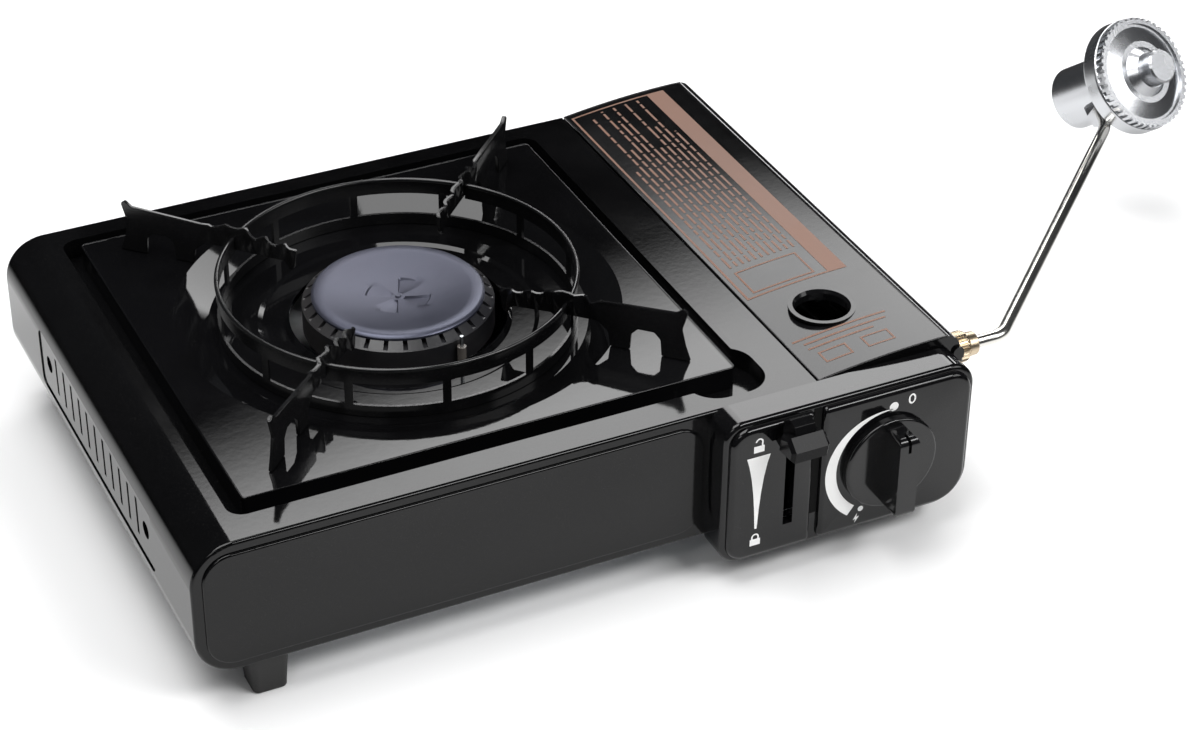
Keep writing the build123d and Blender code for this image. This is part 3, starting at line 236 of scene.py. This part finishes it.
def finish(name, color, worn, rough, rough_worn, metal=0.0, fine=900.0, stretch=(1.0, 1.0, 1.0),
           bump=0.00002, dust=0.04, specular=0.5):
    """Material with grain, wiping marks and a little dust, from one set of numbers."""
    material, tree, shader = new_material(name)
    marks = tree.nodes.new("ShaderNodeGroup")
    marks.node_tree = surface
    marks.inputs["Fine scale"].default_value = fine
    marks.inputs["Stretch"].default_value = stretch
    blend = tree.nodes.new("ShaderNodeMix")
    blend.data_type = "RGBA"
    blend.inputs["A"].default_value = (*color, 1)
    blend.inputs["B"].default_value = (*worn, 1)
    tree.links.new(marks.outputs["Wipe"], blend.inputs["Factor"])
    dusty = tree.nodes.new("ShaderNodeMix")
    dusty.data_type = "RGBA"
    dusty.inputs["B"].default_value = DUST_COLOUR
    speck = tree.nodes.new("ShaderNodeMath")
    speck.operation = "MULTIPLY"
    speck.inputs[1].default_value = dust
    tree.links.new(marks.outputs["Dust"], speck.inputs[0])
    tree.links.new(speck.outputs["Value"], dusty.inputs["Factor"])
    tree.links.new(blend.outputs["Result"], dusty.inputs["A"])
    tree.links.new(dusty.outputs["Result"], shader.inputs["Base Color"])
    roughness = span(tree, marks.outputs["Wipe"], 0.0, 1.0, rough, rough_worn)
    tree.links.new(roughness, shader.inputs["Roughness"])
    ripple = tree.nodes.new("ShaderNodeBump")
    ripple.inputs["Distance"].default_value = bump
    ripple.inputs["Strength"].default_value = 1.0
    tree.links.new(marks.outputs["Grain"], ripple.inputs["Height"])
    tree.links.new(ripple.outputs["Normal"], shader.inputs["Normal"])
    shader.inputs["Metallic"].default_value = metal
    shader.inputs["Specular IOR Level"].default_value = specular
    return material


def wear(material, *names):
    """The nodes of these names get this material."""
    for node in names:
        nodes[node].data.materials.clear()
        nodes[node].data.materials.append(material)


case_enamel = finish("case_enamel", (0.0016, 0.0016, 0.0018), (0.003, 0.003, 0.0033), 0.05, 0.10,
                     fine=420.0, bump=0.00001, specular=0.30)
wear(case_enamel, "case_shell")


# Lid: pressed from the same sheet and enamelled with the case, with a rolled finger hole.
# It turns on two pins at its right edge.
lid_enamel = finish("lid_enamel", (0.0025, 0.0025, 0.0027), (0.005, 0.005, 0.0055), 0.07, 0.13,
                    fine=420.0, bump=0.00001, specular=0.30)
wear(lid_enamel, "lid")


# Printing on the lid: border, band, rows of dashes and two plain signs in copper ink.
# It is screen-printed on the fired enamel, as a skin a tenth of a millimetre thick.
CORNER_X, CORNER_Y, CORNER_Z = 30.25, 10.05, 18.0


def at(x, y, z):
    """Point given in millimetres from the lower front left corner of the case."""
    return Vector((x - CORNER_X, y - CORNER_Y, z + CORNER_Z)) / 1000


copper_ink = finish("copper_ink", (0.150, 0.074, 0.048), (0.185, 0.092, 0.060), 0.34, 0.46,
                    fine=2600.0, bump=0.00001, specular=0.35)
INK = 0.0001
DOWN = Vector((0, 0, -1))
ABOVE = 90
PRINT_STEP = 2.0


def surface_of(node):
    """Tree of a node's faces, for casting rays at them."""
    mesh = nodes[node].data
    faces = [tuple(p.vertices) for p in mesh.polygons]
    return BVHTree.FromPolygons([v.co for v in mesh.vertices], faces)


def printed_on_top(name, node, bars, ink, body):
    """Flat bars of ink (x0, x1, y0, y1 in millimetres), laid on the upper side of a node."""
    tree = surface_of(node)
    points = []
    faces = []
    for x0, x1, y0, y1 in bars:
        across = max(1, round((x1 - x0) / PRINT_STEP))
        along = max(1, round((y1 - y0) / PRINT_STEP))
        first = len(points)
        for i in range(across + 1):
            for j in range(along + 1):
                over = at(x0 + (x1 - x0) * i / across, y0 + (y1 - y0) * j / along, ABOVE)
                hit = tree.ray_cast(over, DOWN)[0]
                points.append(hit + Vector((0, 0, INK)))
        for i in range(across):
            for j in range(along):
                a = first + (along + 1) * i + j
                faces.append((a, a + along + 1, a + along + 2, a + 1))
    piece = new_mesh(name, points, faces)
    piece.data.materials.append(ink)
    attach(piece, body)
    return piece


def frame_bars(x0, x1, y0, y1, w):
    """Four bars of width w inside the edges of a rectangle."""
    return [(x0, x0 + w, y0, y1), (x1 - w, x1, y0, y1),
            (x0 + w, x1 - w, y0, y0 + w), (x0 + w, x1 - w, y1 - w, y1)]


FINE_LINE = 0.9
RULE_W = 1.1
label = frame_bars(274.6, 323.0, 67.0, 243.0, 1.0)
label += [(314.0, 322.0, 68.0, 242.0)]
label += frame_bars(279.0, 309.0, 70.0, 88.0, FINE_LINE)
ROW_ENDS = (184, 236, 202, 240, 228, 240, 196, 240, 214, 240, 206)
ROW_X, ROW_Y, ROW_PITCH = 279.2, 92.0, 3.1
DASHES = (9.0, 5.5, 12.0, 4.0, 7.5, 10.5, 6.0, 3.5)
DASH_GAP = 1.5
for row, row_end in enumerate(ROW_ENDS):
    x = ROW_X + ROW_PITCH * row
    y = ROW_Y
    dash = row * 3
    while y < row_end:
        dash_end = min(y + DASHES[dash % len(DASHES)], row_end)
        label.append((x, x + RULE_W, y, dash_end))
        y = dash_end + DASH_GAP
        dash += 1
for x0, x1, y in ((275.5, 320.0, 29.0), (279.0, 318.0, 25.2), (279.0, 310.0, 21.4)):
    label.append((x0, x1, y, y + RULE_W))
for x0, x1 in ((281.0, 294.0), (301.0, 314.0)):
    label += frame_bars(x0, x1, 10.0, 18.0, FINE_LINE)
printed_on_top("lid_print", "lid", label, copper_ink, "lid")


# Hems: the sheet edges of the lid and of the drip tray are folded under.
# Each fold stands proud of the sheet as a thin bead in the same enamel.
HEM_R = 0.0005
HEM_IN = 0.0003
HEM_SUNK = 0.0002


def hem(name, line, closed, enamel, body):
    """Round bead along a line of points."""
    curve = bpy.data.curves.new(name, "CURVE")
    curve.dimensions = "3D"
    curve.bevel_depth = HEM_R
    curve.bevel_resolution = 3
    curve.use_fill_caps = True
    spline = curve.splines.new("POLY")
    spline.points.add(len(line) - 1)
    for point, spot in zip(spline.points, line):
        point.co = (*spot, 1)
    spline.use_cyclic_u = closed
    bead = bpy.data.objects.new(name, curve)
    bpy.context.scene.collection.objects.link(bead)
    curve.materials.append(enamel)
    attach(bead, body)


HEM_STEPS = 15
HEM_STEP = 0.0042
HINGE_ROLL = 0.0075
lid_low, lid_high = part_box("lid")
lid_top = surface_of("lid")
front = lid_low.y + HEM_IN
back = lid_high.y - HEM_IN
left = lid_low.x + HEM_IN
hem_line = [(lid_high.x - HINGE_ROLL - i * HEM_STEP, front) for i in range(HEM_STEPS)]
hem_line += [(left, front), (left, back)]
hem_line += [(x, back) for x, y in reversed(hem_line[:HEM_STEPS])]
on_lid = [lid_top.ray_cast(Vector((x, y, 0.2)), DOWN)[0] + HEM_SUNK * DOWN for x, y in hem_line]
hem("lid_hem", on_lid, False, lid_enamel, "lid")


# Drip tray: thin steel pressing in mirror-gloss enamel.
# It lies loose in the well of the deck and lifts out for cleaning.
tray_enamel = finish("tray_enamel", (0.002, 0.002, 0.0022), (0.0035, 0.0035, 0.004), 0.03, 0.06,
                     fine=260.0, bump=0.000008, dust=0.02, specular=0.34)
wear(tray_enamel, "drip_tray")
TRAY_CORNER_R = 0.002
tray_low, tray_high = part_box("drip_tray")
left, right = tray_low.x + TRAY_CORNER_R, tray_high.x - TRAY_CORNER_R
front, back = tray_low.y + TRAY_CORNER_R, tray_high.y - TRAY_CORNER_R
hem_line = []
for quarter, (x, y) in enumerate(((right, back), (left, back), (left, front), (right, front))):
    middle = Vector((x, y, tray_high.z - HEM_SUNK))
    for step in range(7):
        a = pi / 2 * (quarter + step / 6)
        hem_line.append(middle + (TRAY_CORNER_R - HEM_IN) * Vector((cos(a), sin(a), 0)))
hem("tray_hem", hem_line, True, tray_enamel, "tray")


# Pan support: ring of enamelled steel strip with windows stamped in it.
# Four loose arms stand in its slots.
iron = finish("iron_enamel", (0.003, 0.003, 0.0034), (0.008, 0.008, 0.0085), 0.14, 0.26,
              fine=700.0, bump=0.00003)
ARMS = ("arm_rear_right", "arm_rear_left", "arm_front_left", "arm_front_right")
wear(iron, "support_ring", *ARMS)


# Arms: stamped from steel plate. The finger over the burner has its teeth set to and fro like
# a saw's, so that a pan doesn't slide. Each arm drops into a slot of the ring.
ARM = [(46.5, 17.5), (52, 19.6), (56, 18.4), (61, 21.0), (65, 19.8), (70, 23.0), (80, 23.0),
       (84, 22.6), (86.5, 20.8), (91, 22.0), (124, 23.6), (127, 26.0), (129.0, 24.6), (126.5, 15.5),
       (128.2, 8.0), (130.5, 1.3), (118, 1.3), (117.4, 9.0), (114.6, 12.0), (107.4, 12.0),
       (104.6, 9.0), (104, 1.3), (95.5, 1.3), (94.6, 8.0), (90.0, 12.4), (78.0, 12.4),
       (52.0, 11.4), (49.5, 7.2), (47.6, 9.0)]
ARM_T = 1.7
ARM_EDGE_R = 0.3
FINGER_X = 47.5            # the finger is cut every FINGER_STEP from here, so that it can bend
FINGER_STEP = 1.4
TOOTH_SET = 1.15
TOOTH_PITCH = 8.6
SET_X, SET_Z = 92.5, 12.5  # beyond and below these the plate stays flat
SLOT_X = 76.0              # and where it stands in the ring's slot
BURNER = (138.4, 127.5, 61.3)


def arm_plate():
    """Plate of an arm along +X from the burner's middle, in millimetres, with its teeth set."""
    plate = bmesh.new()
    near = [plate.verts.new((x, -ARM_T / 2, z)) for x, z in ARM]
    plate.faces.new(near)
    whole = bmesh.ops.extrude_face_region(plate, geom=plate.faces[:])
    moved = [v for v in whole["geom"] if isinstance(v, bmesh.types.BMVert)]
    bmesh.ops.translate(plate, verts=moved, vec=(0, ARM_T, 0))
    bmesh.ops.recalc_face_normals(plate, faces=plate.faces[:])
    bmesh.ops.bevel(plate, geom=plate.edges[:], offset=ARM_EDGE_R, segments=2, affect="EDGES",
                    clamp_overlap=True)
    cuts = [((FINGER_X + FINGER_STEP * step, 0, 0), (1, 0, 0)) for step in range(32)]
    cuts += [((0, 0, height), (0, 0, 1)) for height in (14.5, 17.0, 19.0)]
    for point, normal in cuts:
        whole = plate.verts[:] + plate.edges[:] + plate.faces[:]
        bmesh.ops.bisect_plane(plate, geom=whole, plane_co=point, plane_no=normal)
    for v in plate.verts:
        above = max(0.0, min(1.0, (v.co.z - SET_Z) / 6.0))
        within = max(0.0, min(1.0, (SET_X - v.co.x) / 3.0))
        beside_slot = min(1.0, abs(v.co.x - SLOT_X) / 4.0)
        wave = sin(2 * pi * (v.co.x - 47.0) / TOOTH_PITCH)
        v.co.y += TOOTH_SET * (above * within) * beside_slot * wave
    return plate


def object_from(shape, name, material, crease):
    """Object from a bmesh, which is freed; edges sharper than crease degrees stay sharp."""
    mesh = bpy.data.meshes.new(name)
    shape.to_mesh(mesh)
    shape.free()
    for face in mesh.polygons:
        face.use_smooth = True
    mesh.set_sharp_from_angle(angle=radians(crease))
    mesh.materials.append(material)
    made = bpy.data.objects.new(name, mesh)
    bpy.context.scene.collection.objects.link(made)
    return made


for quarter, name in enumerate(ARMS):
    plate = arm_plate()
    heading = Matrix.Rotation(radians(45 + 90 * quarter), 4, "Z")
    plate.transform(Matrix.Translation(at(*BURNER)) @ heading @ Matrix.Scale(0.001, 4))
    arm = object_from(plate, name + "_plate", iron, 40)
    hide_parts(name)
    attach(arm, "pan_support")


# Burner head: cast in iron with sawn ports, and blackened by heat.
# It stands loose on the burner's cup.
burner_iron = finish("burner_iron", (0.012, 0.012, 0.014), (0.03, 0.028, 0.028), 0.30, 0.48,
                     fine=800.0, bump=0.00006)
wear(burner_iron, "burner_head")


# Burner cap: pressed steel disc with a flat lip, dished inside it.
# Four vanes are stamped round a spot-welded stud.
# Its bluish colour is painted light: the blue glow of the burner's flames, which are not built,
# laid on grey steel.
cap_metal_flame_glow = finish("cap_metal_flame_glow", (0.060, 0.064, 0.090), (0.090, 0.092, 0.122), 0.34, 0.48,
                   metal=0.7, fine=1400.0, bump=0.00004)
wear(cap_metal_flame_glow, "burner_cap")
CAP_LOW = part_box("burner_cap")[0].z * 1000 - CORNER_Z
CAP_RINGS = (0.0, 1.0, 1.3, 2.8, 3.2, 5.0, 8.0, 11.0, 13.4, 14.0, 17.0, 20.0, 23.0, 26.0, 29.0,
             31.0, 32.0, 35.4, 36.3, 36.9)
UNDER_RINGS = ((36.9, 0.0), (31.0, 0.0), (29.0, 0.45), (20.0, 1.9), (0.0, 2.9))
LIP_DROP = {36.3: 0.35, 36.9: 1.0}
LIP_RISE = 2.0
DISH_R, DISH_DEPTH = 32, 3.6
STUD_R, STUD_RISE = 1.0, 0.7
VANE_R = (3.2, 13.4)
VANE_DEPTH = 1.0
SECTORS = 96
VANE_PITCH, VANE_SPAN = 24, 13
VANE_TURN = radians(15)


def cap_point(r, k, z):
    a = 2 * pi * k / SECTORS + VANE_TURN
    return at(BURNER[0] + r * cos(a), BURNER[1] + r * sin(a), CAP_LOW + z)


points = []
faces = []
for r in CAP_RINGS:
    for k in range(SECTORS):
        across = (k % VANE_PITCH) / VANE_SPAN
        in_vane = VANE_R[0] <= r <= VANE_R[1] and across <= 1
        z = LIP_RISE - DISH_DEPTH * max(0.0, 1 - (r / DISH_R) ** 2) ** 1.15
        z -= VANE_DEPTH * across if in_vane else 0.0
        z += STUD_RISE if r <= STUD_R else 0.0
        z -= LIP_DROP.get(r, 0.0)
        points.append(cap_point(r, k, z))
for r, deep in UNDER_RINGS:
    for k in range(SECTORS):
        points.append(cap_point(r, k, 0.02 - deep))
for i in range(len(CAP_RINGS) + len(UNDER_RINGS) - 1):
    for k in range(SECTORS):
        n = (k + 1) % SECTORS
        near, far = i * SECTORS, (i + 1) * SECTORS
        faces.append((near + k, far + k, far + n, near + n))
dished_cap = new_mesh("dished_cap", points, faces, smooth=True)
welded = bmesh.new()
welded.from_mesh(dished_cap.data)
bmesh.ops.remove_doubles(welded, verts=welded.verts[:], dist=0.00001)
bmesh.ops.recalc_face_normals(welded, faces=welded.faces[:])
welded.to_mesh(dished_cap.data)
welded.free()
dished_cap.data.set_sharp_from_angle(angle=radians(28))
dished_cap.data.materials.append(cap_metal_flame_glow)
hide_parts("burner_cap")
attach(dished_cap, "stove")


# Burner cup, valve and cartridge socket: die-cast zinc, left as cast.
# The grain of the mould shows as a fine roughness.
die_cast = finish("die_cast", (0.42, 0.43, 0.44), (0.50, 0.51, 0.52), 0.45, 0.6, metal=0.9,
                  fine=1100.0, bump=0.00006)
wear(die_cast, "burner_base", "valve_body", "cartridge_socket")


# Sheet and tube inside the case: zinc-plated steel, bent and spot-welded. Jet, stem and inlet
# are turned brass. Small moulded parts are white nylon, glazed ceramic and black rubber.
zinc = finish("zinc_plate", (0.52, 0.54, 0.56), (0.62, 0.63, 0.64), 0.28, 0.46, metal=1.0,
              fine=300.0, stretch=(1.0, 8.0, 8.0))
wear(zinc, "base_plate", "heat_shield", "mixing_tube", "jet_carrier", "gas_pipe", "burner_bracket",
     "cartridge_carriage", "lever_arm", "hinge_pins", "inlet_tube", "ignition_electrode",
     "electrode_clip", "base_screws")
brass = finish("brass_turned", (0.72, 0.53, 0.25), (0.62, 0.45, 0.22), 0.22, 0.36, metal=1.0)
wear(brass, "gas_jet", "valve_stem", "inlet_fitting")
ceramic = finish("sooty_ceramic", (0.10, 0.09, 0.082), (0.20, 0.18, 0.16), 0.20, 0.40, fine=500.0)
wear(ceramic, "electrode_insulator")
nylon = finish("nylon_white", (0.72, 0.71, 0.67), (0.64, 0.62, 0.58), 0.45, 0.55, fine=1500.0)
wear(nylon, "striker_cam", "piezo_plunger", "piezo_igniter")
sleeve = finish("wire_sleeve", (0.030, 0.028, 0.028), (0.050, 0.046, 0.045), 0.40, 0.55,
                fine=1800.0)
wear(sleeve, "ignition_wire")
rubber = finish("black_rubber", (0.008, 0.008, 0.008), (0.018, 0.0175, 0.017), 0.55, 0.75,
                fine=2200.0, bump=0.00005)
wear(rubber, "can_saddles", "socket_seal", "foot_front_left", "foot_front_right", "foot_rear_left",
     "foot_rear_right")


# Controls: the housing is moulded in glossy black plastic.
# Knob and lever grip are moulded in a black plastic with less gloss.
gloss_plastic = finish("gloss_plastic", (0.0022, 0.0022, 0.0025), (0.0045, 0.0045, 0.005),
                       0.045, 0.085, fine=1200.0, bump=0.000005, specular=0.36)
wear(gloss_plastic, "control_housing", "lock_panel", "knob_panel")
satin_plastic = finish("satin_plastic", (0.003, 0.003, 0.0034), (0.006, 0.006, 0.0064), 0.07, 0.14,
                       fine=1600.0, bump=0.000008, specular=0.40)
wear(satin_plastic, "knob")
grip_plastic = finish("grip_plastic", (0.003, 0.003, 0.0034), (0.006, 0.006, 0.0064), 0.18, 0.28,
                      fine=1600.0, bump=0.000012, specular=0.08)
wear(grip_plastic, "lever_grip")


# Face plates: moulded apart from the housing and snapped on, with full round edges at the front.
# The groove between them is open as far down as the lever goes; a matt black sheet there is painted
# shade of that open groove.
PLATE_BACK = -14.5
PLATE_FRONT = -17.0
PLATE_ROUND = 2.4


def plate_ring(x0, x1, z0, z1, radii, inset):
    """Outline of a plate, drawn in by inset, with the same count of points at any inset."""
    ring = []
    corners = ((x0, z0, 180), (x1, z0, 270), (x1, z1, 0), (x0, z1, 90))
    for r, (x, z, first_turn) in zip(radii, corners):
        to_middle = max(r, inset)
        middle_x = x + (to_middle if x == x0 else -to_middle)
        middle_z = z + (to_middle if z == z0 else -to_middle)
        reach = max(r - inset, 0.05)
        for step in range(9):
            a = radians(first_turn + 90 * step / 8)
            ring.append((middle_x + reach * cos(a), middle_z + reach * sin(a)))
    return ring


def face_plate(name, node, edges, radii, hole):
    """Plate with round front edges and one opening; edges are (x0, x1, z0, z1) in millimetres."""
    plate = bmesh.new()
    rings = [(PLATE_BACK, 0.0)]
    for step in range(7):
        a = pi / 2 * step / 6
        rings.append((PLATE_FRONT + PLATE_ROUND * (1 - sin(a)), PLATE_ROUND * (1 - cos(a))))
    loops = []
    for depth, inset in rings:
        outline = plate_ring(*edges, radii, inset)
        loops.append([plate.verts.new(at(x, depth, z)) for x, z in outline])
    holes = [[plate.verts.new(at(x, y, z)) for x, z in hole] for y in (PLATE_BACK, PLATE_FRONT)]
    for near, far in list(zip(loops, loops[1:])) + [tuple(holes)]:
        for i in range(len(near)):
            n = (i + 1) % len(near)
            plate.faces.new((near[i], near[n], far[n], far[i]))
    for rims in ((loops[0], holes[0]), (loops[-1], holes[1])):
        bounds = [plate.edges.get((a, b)) for rim in rims for a, b in zip(rim, rim[1:] + rim[:1])]
        bmesh.ops.triangle_fill(plate, use_beauty=True, edges=bounds)
    bmesh.ops.recalc_face_normals(plate, faces=plate.faces[:])
    piece = object_from(plate, name, gloss_plastic, 35)
    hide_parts(node)
    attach(piece, "stove")


def in_case(node):
    """Lowest and highest x and z of a node, in millimetres from the corner of the case."""
    low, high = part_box(node)
    return (low.x * 1000 + CORNER_X, high.x * 1000 + CORNER_X,
            low.z * 1000 - CORNER_Z, high.z * 1000 - CORNER_Z)


def disc(x, z, r):
    """Outline of a round hole or dot on the face of the plates."""
    return [(x + r * cos(2 * pi * i / 32), z + r * sin(2 * pi * i / 32)) for i in range(32)]


def bar(x0, x1, z0, z1):
    return [(x0, z0), (x1, z0), (x1, z1), (x0, z1)]


SLOT_LOW = 8.0
SLOT = bar(248.0, 252.4, SLOT_LOW, 58.0)
KNOB_X, KNOB_Z = 296.8, 26.8
STEM_HOLE_R = 4.0
lock_edges = in_case("lock_panel")
knob_edges = in_case("knob_panel")
# round corners from the lower left, anticlockwise
LOCK_CORNERS = (7.5, 2.4, 2.4, 9.0)
KNOB_CORNERS = (2.4, 14.0, 10.5, 2.4)
stem_hole = disc(KNOB_X, KNOB_Z, STEM_HOLE_R)
face_plate("lock_plate", "lock_panel", lock_edges, LOCK_CORNERS, SLOT)
face_plate("knob_plate", "knob_panel", knob_edges, KNOB_CORNERS, stem_hole)
# Painted shade: a thin matt black sheet in the groove, down to the lower end of the lever slot,
# stands for the shade inside the open groove.
SHADE_SHEET_GAP = 0.1
SHADE_SHEET_FRONT, SHADE_SHEET_BACK = PLATE_BACK - 0.4, PLATE_BACK + 0.05
shade_sheet_edge = bar(lock_edges[1] + SHADE_SHEET_GAP, knob_edges[0] - SHADE_SHEET_GAP, SLOT_LOW, lock_edges[3])
shade_sheet_corners = [at(x, y, z) for y in (SHADE_SHEET_FRONT, SHADE_SHEET_BACK) for x, z in shade_sheet_edge]
BOX_SIDES = [(0, 1, 2, 3), (7, 6, 5, 4), (0, 4, 5, 1), (1, 5, 6, 2), (2, 6, 7, 3), (3, 7, 4, 0)]
shade_sheet = new_mesh("groove_shade_sheet", shade_sheet_corners, BOX_SIDES)
shade_sheet_finish = finish("painted_groove_shade", (0.002, 0.002, 0.002), (0.004, 0.004, 0.004), 0.60, 0.75,
              fine=2400.0, bump=0.00003, specular=0.1)
shade_sheet.data.materials.append(shade_sheet_finish)
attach(shade_sheet, "stove")


# Side pipe: steel tube, bent cold and nickel-plated.
# One end turns in the stove's inlet, the other is screwed into the regulator.
nickel = finish("nickel_plate", (0.66, 0.64, 0.60), (0.74, 0.72, 0.68), 0.12, 0.24, metal=1.0,
                fine=1200.0)
wear(nickel, "adapter_pipe")


# Coupling nut: turned from brass bar, ribbed along its length for the fingers, and plated.
# It draws the pipe's end into the inlet.
nut_brass = finish("nut_plate", (0.62, 0.52, 0.38), (0.50, 0.40, 0.28), 0.22, 0.36, metal=1.0,
                   fine=1200.0)
wear(nut_brass, "coupling_nut")
NUT_AT = at(0, 19.5, 45.0)
NUT_HOLE_R = 0.0030
RIBS = 22
RIB_RISE = 0.045
# share of the nut's length, share of its radius, and whether it is ribbed there
NUT_SECTIONS = ((0.0, 0.86, 0), (0.06, 0.95, 0), (0.10, 0.95, 1), (0.62, 0.95, 1), (0.68, 0.93, 0),
                (0.74, 0.78, 0), (0.97, 0.74, 0), (1.0, 0.68, 0))
nut_low, nut_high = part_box("coupling_nut")
nut_r = (nut_high.z - nut_low.z) / 2
sides = RIBS * 4
rings = []
for share, wide, ribbed in NUT_SECTIONS:
    rise = RIB_RISE * ribbed
    crest, groove = nut_r * (wide + rise), nut_r * (wide - rise)
    rings.append((share, [crest if k % 4 in (0, 1) else groove for k in range(sides)]))
rings += [(1.0, [NUT_HOLE_R] * sides), (0.0, [NUT_HOLE_R] * sides)]
points = []
faces = []
for i, (share, reaches) in enumerate(rings):
    x = nut_low.x + share * (nut_high.x - nut_low.x)
    j = (i + 1) % len(rings)
    for k, r in enumerate(reaches):
        a = 2 * pi * k / sides
        points.append((x, NUT_AT.y + r * cos(a), NUT_AT.z + r * sin(a)))
        n = (k + 1) % sides
        faces.append((i * sides + k, i * sides + n, j * sides + n, j * sides + k))
ribbed_nut = new_mesh("ribbed_nut", points, faces)
ribbed_nut.data.materials.append(nut_brass)
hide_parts("coupling_nut")
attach(ribbed_nut, "nut")


# Regulator: body, drum, cover and boss, turned and pressed from aluminium.
# All have a satin finish, a little rubbed by the hand.
satin_alloy = finish("satin_alloy", (0.60, 0.61, 0.63), (0.68, 0.69, 0.70), 0.26, 0.40, metal=1.0,
                     bump=0.00003)
wear(satin_alloy, "regulator_body", "regulator_drum", "regulator_cover", "regulator_boss")


# White printing on the face plates: wedge and padlock signs beside the lever, crescent, dots,
# bolt and a plain 0 round the knob. It is one thin coat of ink.
white_ink = finish("white_ink", (0.90, 0.90, 0.89), (0.84, 0.84, 0.83), 0.42, 0.55,
                   fine=2600.0, bump=0.00001)


def printed_on_front(name, outlines, ink, body):
    """Flat shapes of ink on the face plates; outlines are lists of (x, z) in millimetres."""
    shapes = bmesh.new()
    for outline in outlines:
        corners = [shapes.verts.new(at(x, PLATE_FRONT - INK * 1000, z)) for x, z in outline]
        face = shapes.faces.new(corners)
        face.normal_update()
        if face.normal.y > 0:
            face.normal_flip()
    mesh = bpy.data.meshes.new(name)
    shapes.to_mesh(mesh)
    shapes.free()
    piece = bpy.data.objects.new(name, mesh)
    bpy.context.scene.collection.objects.link(piece)
    mesh.materials.append(ink)
    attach(piece, body)
    return piece


SIGN_X = 235.2
WEDGE = ((46.5, 5.4), (42.0, 4.1), (36.0, 2.9), (28.0, 1.8), (20.0, 1.1), (10.0, 0.5))
marks = [[(SIGN_X - w, z) for z, w in WEDGE] + [(SIGN_X + w, z) for z, w in reversed(WEDGE)]]
OFF_DOT = (298.0, 52.7, 2.1)
LIT_DOT = (285.3, 4.6, 1.3)
BOLT = [(283.9, 2.8), (281.9, -0.5), (283.2, -0.2), (282.6, -2.2), (284.9, 1.0), (283.5, 0.8)]
marks += [disc(*OFF_DOT), disc(*LIT_DOT)]
CRESCENT_TURN = (88, 233)
CRESCENT_STEPS = 48
CRESCENT_R = 24.5
CRESCENT_W = (0.4, 5.3)
inner = []
outer = []
for i in range(CRESCENT_STEPS + 1):
    a = radians(CRESCENT_TURN[0] + (CRESCENT_TURN[1] - CRESCENT_TURN[0]) * i / CRESCENT_STEPS)
    swell = sin(pi / 2 * min(1.0, i / 36)) ** 1.4
    r = CRESCENT_R + CRESCENT_W[0] + (CRESCENT_W[1] - CRESCENT_W[0]) * swell
    inner.append((KNOB_X + CRESCENT_R * cos(a), KNOB_Z + CRESCENT_R * sin(a)))
    outer.append((KNOB_X + r * cos(a), KNOB_Z + r * sin(a)))
for i in range(CRESCENT_STEPS):
    marks.append([inner[i], inner[i + 1], outer[i + 1], outer[i]])
marks.append(BOLT)


def ring_bars(x, z, wide, high, stroke, start=0, end=360):
    """Ring or arc of ink, as a row of short bars."""
    turns = [radians(start + (end - start) * i / 24) for i in range(25)]
    rim = [(x + wide * cos(a), z + high * sin(a)) for a in turns]
    eye = [(x + (wide - stroke) * cos(a), z + (high - stroke) * sin(a)) for a in turns]
    return [[rim[i], rim[i + 1], eye[i + 1], eye[i]] for i in range(24)]


def padlock(x, z, lift):
    """Padlock sign; its shackle stands up by lift, clear of the body on one side."""
    sign = [bar(x - 2.4, x + 2.4, z - 2.6, z + 0.6)]
    sign += ring_bars(x, z + 1.5 + lift, 1.8, 1.8, 0.7, 0, 180)
    sign += [bar(x + 1.1, x + 1.8, z + 0.6, z + 1.5 + lift)]
    if lift == 0:
        sign += [bar(x - 1.8, x - 1.1, z + 0.6, z + 1.5)]
    return sign


marks += ring_bars(306.6, 54.2, 1.75, 2.5, 0.75)
marks += padlock(SIGN_X, 51.2, 1.0) + padlock(SIGN_X, 4.2, 0)
printed_on_front("plate_print", marks, white_ink, "stove")
